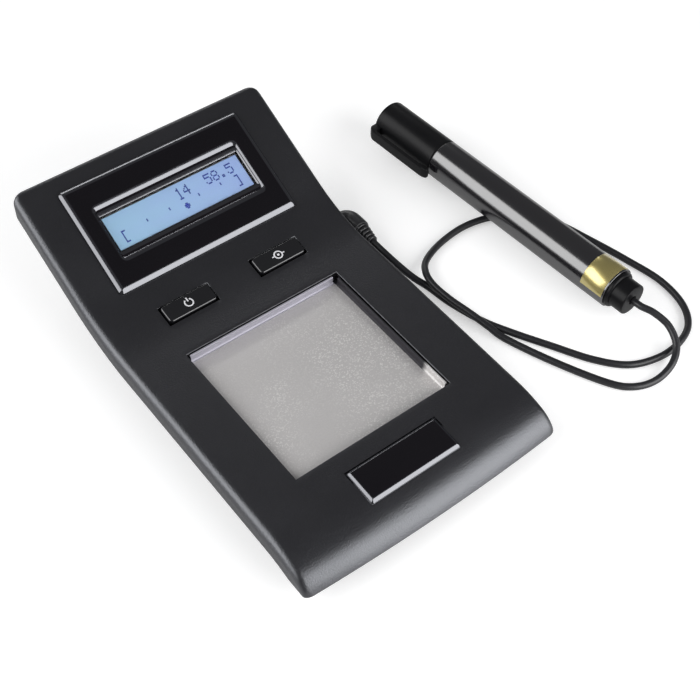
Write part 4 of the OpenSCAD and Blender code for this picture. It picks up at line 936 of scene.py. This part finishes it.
def foldedLip(length, turn, place):
    # edge of the sheet bent up: bend of small radius, upright face, top edge, back down outside
    t, bend, top, cut = plate["sheet"], plate["lipBend"], plate["lip"], plate["lipChamfer"]
    a = arc(0, 90, 6)
    inner = np.column_stack([-t - bend * (1 - np.sin(a)), bend * (1 - np.cos(a))])
    outer = np.column_stack([-(bend + t) * (1 - np.sin(a)), -t + (bend + t) * (1 - np.cos(a))])[::-1]
    start = -t - bend - 0.3
    edge = [(-t, top - cut), (-t + cut, top), (-cut, top), (0.0, top - cut)]
    profile = np.vstack([[(start, 0.0)], inner, edge, outer, [(start, -t)]])
    ends = np.array([-length / 2, -length / 2 + cut, length / 2 - cut, length / 2])
    grid = np.array([np.column_stack([np.full(len(profile), e), profile]) for e in ends])
    c, s = direction(turn)
    x, y, z = np.moveaxis(grid, -1, 0)
    turned = np.stack([x * c - y * s, x * s + y * c, z], axis=-1)
    return gridSurface(turned + place, closeCols=True, ends=True)


def makePlate():
    # sheet with rounded edges, and its back and right edges folded up
    p = plate
    w, l = p["width"], p["length"]
    levels = [(w - 0.2, l - 0.2, 0.5, plateFloor - p["sheet"])] + roundEdge(w, l, 0.6, plateFloor, 0.25, 4)
    sheet, sheetFaces = loopStack(levels)
    lift = plateFloor + p["lipLift"]
    back = foldedLip(w - p["lipShorter"], 0, (-p["lipShift"], p["y"] + l / 2, lift))
    right = foldedLip(l - p["lipShorter"], -90, (w / 2, p["y"] - p["lipShift"], lift))
    makePiece("metal_tray", *joined((sheet + [0, p["y"], 0], sheetFaces), back, right), "plateSteel", "root",
              "plate_steel", "test_plate", angle=40)


makePlate()
print("plate made")


def makeBadge():
    # low plinth with a pillowed bevel all round
    b = badge
    w, l, thick, bevel = b["width"], b["length"], b["thick"], b["bevel"]
    points, faces = loopStack([(w - 0.2, l - 0.2, 0.9, 0.0), (w, l, 1.0, 0.1)]
                              + pillowed(w, l, 1.2, thick - bevel, thick, bevel))
    piece = makePiece("nose_badge", tilted(points, b["tilt"], (0, badgeY, badgeZ)), faces, "bezel", "root",
                      "bezel_black", "front_badge", angle=34)
    polishBevels(piece, b["tilt"])


makeBadge()
print("badge made")

label = {"from": 9.5, "to": 20.7, "startTurn": 92.0, "endTurn": 230.7, "thick": 0.14, "edge": 0.1,
         "round": 0.06}
# the clip: heights over the pen's radius, lengths along it, then its sections from side to side
clip = {"low": 3.0, "high": 4.5, "reach": 2.5, "foot": 3.6,
        "across": (-2.5, -2.4, -2.1, -1.7, 1.7, 2.1, 2.4, 2.5),
        "shrink": (0.7, 0.4, 0.12, 0, 0, 0.12, 0.4, 0.7)}


def penPiece(name, surface, finish, node, slot="pen_gloss", body="probe_lead", angle=32):
    # surface in (x, y, u): u along the pen, x down and y to the left
    x, y, u = np.asarray(surface[0], float).T[:, :, None]
    left = np.array([-penAxis[1], penAxis[0], 0])
    placed = np.array(pen["end"]) + u * penAxis + y * left + x * np.array([0, 0, -1.0])
    makePiece(name, placed, surface[1], finish, body, slot, node, angle=angle)


def makePen():
    # turned pieces, each a profile of (place along the pen, radius)
    r, seam, start, bore = pen["radius"], pen["seam"], pen["barrelFrom"], pen["bore"]
    ring, ringR, plugR, plugTo = pen["ringFrom"], pen["ringRadius"], pen["plugRadius"], pen["plugTo"]
    barrel = softCorners([(start, bore), (start, r), (seam, r), (seam, bore)], 0.35)
    barrel = np.vstack([barrel, [(start, bore)]])
    collar = softCorners([(ring, plugR), (ring, bore), (ring + 0.6, ringR), (start, ringR),
                          (start, plugR)], 0.25)
    endPlug = np.vstack([[(1.1, 0.001), (1.1, 1.6), (0.0, 2.1)],
                         softCorners([(0, 2.1), (0, plugR), (start, plugR), (start, bore - 0.05),
                                      (plugTo, bore - 0.05)], 0.7), [(plugTo, 0.001)]])
    for name, profile, finish, node in (("pen_tube", barrel, "penGloss", "pen_barrel"),
                                        ("pen_ring", collar, "capBlack", "pen_collar"),
                                        ("pen_plug", endPlug, "capBlack", "pen_end_plug")):
        penPiece(name, revolved(profile, pen["round"]), finish, node)


def makeLabel():
    # thin band bent round part of the barrel, with a rounded edge
    r, a, b, bevel = pen["radius"], label["from"], label["to"], label["round"]
    edge, top = r + label["edge"], r + label["thick"]
    profile = [(r, a), (edge, a), (top, a + bevel), (top, b - bevel), (edge, b), (r, b)]
    penPiece("pen_foil", sector(profile, label["startTurn"], label["endTurn"], 56), "goldFoil", "pen_label",
             "label_gold", angle=40)


def makeCap():
    # closed shell, and a clip: its side outline carried across its width, smaller towards the edges
    r, seam, end, bore = pen["radius"], pen["seam"], pen["length"], pen["bore"]
    mouth = seam + pen["capGap"]
    shell = np.vstack([softCorners([(mouth, bore), (mouth, r), (end, r), (end, 0.001)], 0.9, 6),
                       [(end - 2, 0.001), (end - 2, bore), (mouth, bore)]])
    low, high, ball, foot = r + clip["low"], r + clip["high"], seam - clip["reach"], end - clip["foot"]
    outline = softCorners([(r - 2, foot), (low, foot), (low - 0.1, seam + 3), (r + 1.9, ball + 1.8),
                           (r + 1.9, ball + 0.2), (high - 0.8, ball), (high, ball + 2.4), (high, end - 2.6),
                           (high - 2.0, end), (r - 2, end)], 0.9)
    inward = outline.mean(axis=0) - outline
    inward /= np.linalg.norm(inward, axis=1)[:, None]
    sections = outline + np.array(clip["shrink"])[:, None, None] * inward
    across = np.array(clip["across"])[:, None, None] + 0 * sections[..., :1]
    clipSurface = gridSurface(np.concatenate([across, sections], axis=-1), closeCols=True, ends=True)
    penPiece("pen_top", joined(revolved(shell, pen["round"]), clipSurface), "capBlack", "pen_cap",
             body="pen_cap", angle=34)


makePen()
makeLabel()
makeCap()
print("pen made")

# CAD nodes that keep their shape, with their finish
kept = {"lower_housing": "tub", "battery_door": "tub", "lcd_light_guide": "lightGuide", "lcd_board": "board",
        "lcd_cable": "ribbon", "main_board": "board", "mode_switch": "switchBody", "cal_switch": "switchBody",
        "plate_contact": "brass", "probe_socket": "contactSteel", "battery_cells": "cellSleeve",
        "battery_contacts": "contactSteel", "battery_leads": "leadRed", "rubber_feet": "foot",
        "housing_screws": "screwSteel", "board_screws": "screwSteel", "plug_pin": "contactSteel",
        "pen_electrode": "contactSteel", "pen_reservoir": "reservoir", "pen_nose": "nosePlastic",
        "pen_tip": "felt"}


def dressNode(name, material):
    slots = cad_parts[name].data.materials
    if len(slots) == 0:
        slots.append(material)
    for k in range(len(slots)):
        slots[k] = material


for nodeName, finish in kept.items():
    dressNode(nodeName, materials[finish])
print("kept nodes dressed")

# lamps: place in metres, width, height and power
studio = {"floorZ": -2.2, "floorSize": 6.0, "floorColor": (0.78, 0.78, 0.78), "floorGlow": 0.4,
          "glowFrom": 0.35, "glowRise": 1.2, "skyColor": (0.97, 0.98, 1.0),
          "lamps": {"leftBox": ((-0.93, 0.46, 0.64), 1.55, 1.0, 16.0),
                    "frontBox": ((0.20, -0.440, 0.198), 0.50, 0.42, 2.75),
                    "backStrip": ((0.50, 1.05, 0.52), 0.80, 0.12, 1.3)},
          "skyDiffuse": 0.24, "skyGlossy": 0.13, "skyCamera": 1.0}


def makeFloor():
    mesh = bpy.data.meshes.new("floor")
    s, z = studio["floorSize"] / 2, studio["floorZ"] * mm
    mesh.from_pydata([(-s, -s, z), (s, -s, z), (s, s, z), (-s, s, z)], [], [(0, 1, 2, 3)])
    floor = bpy.data.objects.new("floor", mesh)
    bpy.context.scene.collection.objects.link(floor)
    # seen directly, the paper is white and takes the shadows; far from the object it is white without them
    material, tree, shader = newMaterial("paperFloor")
    away = addNode(tree, "VectorMath", operation="LENGTH")
    feed(tree, away.inputs[0], objectPlace(tree))
    far = calc(tree, "SUBTRACT", away.outputs["Value"], studio["glowFrom"])
    far = calc(tree, "MULTIPLY", far, studio["glowRise"], clamp=True)
    glow = calc(tree, "MULTIPLY_ADD", far, 1.0 - studio["floorGlow"], studio["floorGlow"])
    seen = addNode(tree, "LightPath").outputs["Is Camera Ray"]
    feedAll(tree, shader, Base_Color=studio["floorColor"], Roughness=0.9, Specular_IOR_Level=0.0,
            Emission_Color=(1, 1, 1), Emission_Strength=calc(tree, "MULTIPLY", seen, glow))
    mesh.materials.append(material)


def makeLamp(name, place, width, height, power):
    data = bpy.data.lights.new(name, "AREA")
    data.shape, data.size, data.size_y, data.energy = "RECTANGLE", width, height, power
    lamp = bpy.data.objects.new(name, data)
    bpy.context.scene.collection.objects.link(lamp)
    lamp.location = place
    lamp.visible_camera = False
    lamp.rotation_euler = (-Vector(place)).to_track_quat("-Z", "Y").to_euler()


def makeWorld():
    # plain light for the object, less of it in gloss and glass, and white behind everything
    world = bpy.data.worlds.new("studio")
    bpy.context.scene.world = world
    world.use_nodes = True
    tree, plain = world.node_tree, studio["skyDiffuse"]
    rays = addNode(tree, "LightPath").outputs
    glossy = calc(tree, "MAXIMUM", rays["Is Glossy Ray"], rays["Is Transmission Ray"])
    strength = calc(tree, "MULTIPLY_ADD", glossy, studio["skyGlossy"] - plain, plain)
    strength = calc(tree, "MULTIPLY_ADD", rays["Is Camera Ray"], studio["skyCamera"] - plain, strength)
    feedAll(tree, tree.nodes["Background"].inputs, Color=studio["skyColor"], Strength=strength)


makeFloor()
for lampName, settings in studio["lamps"].items():
    makeLamp(lampName, *settings)
makeWorld()
bpy.context.scene.view_settings.view_transform = "Standard"
print("studio lit")
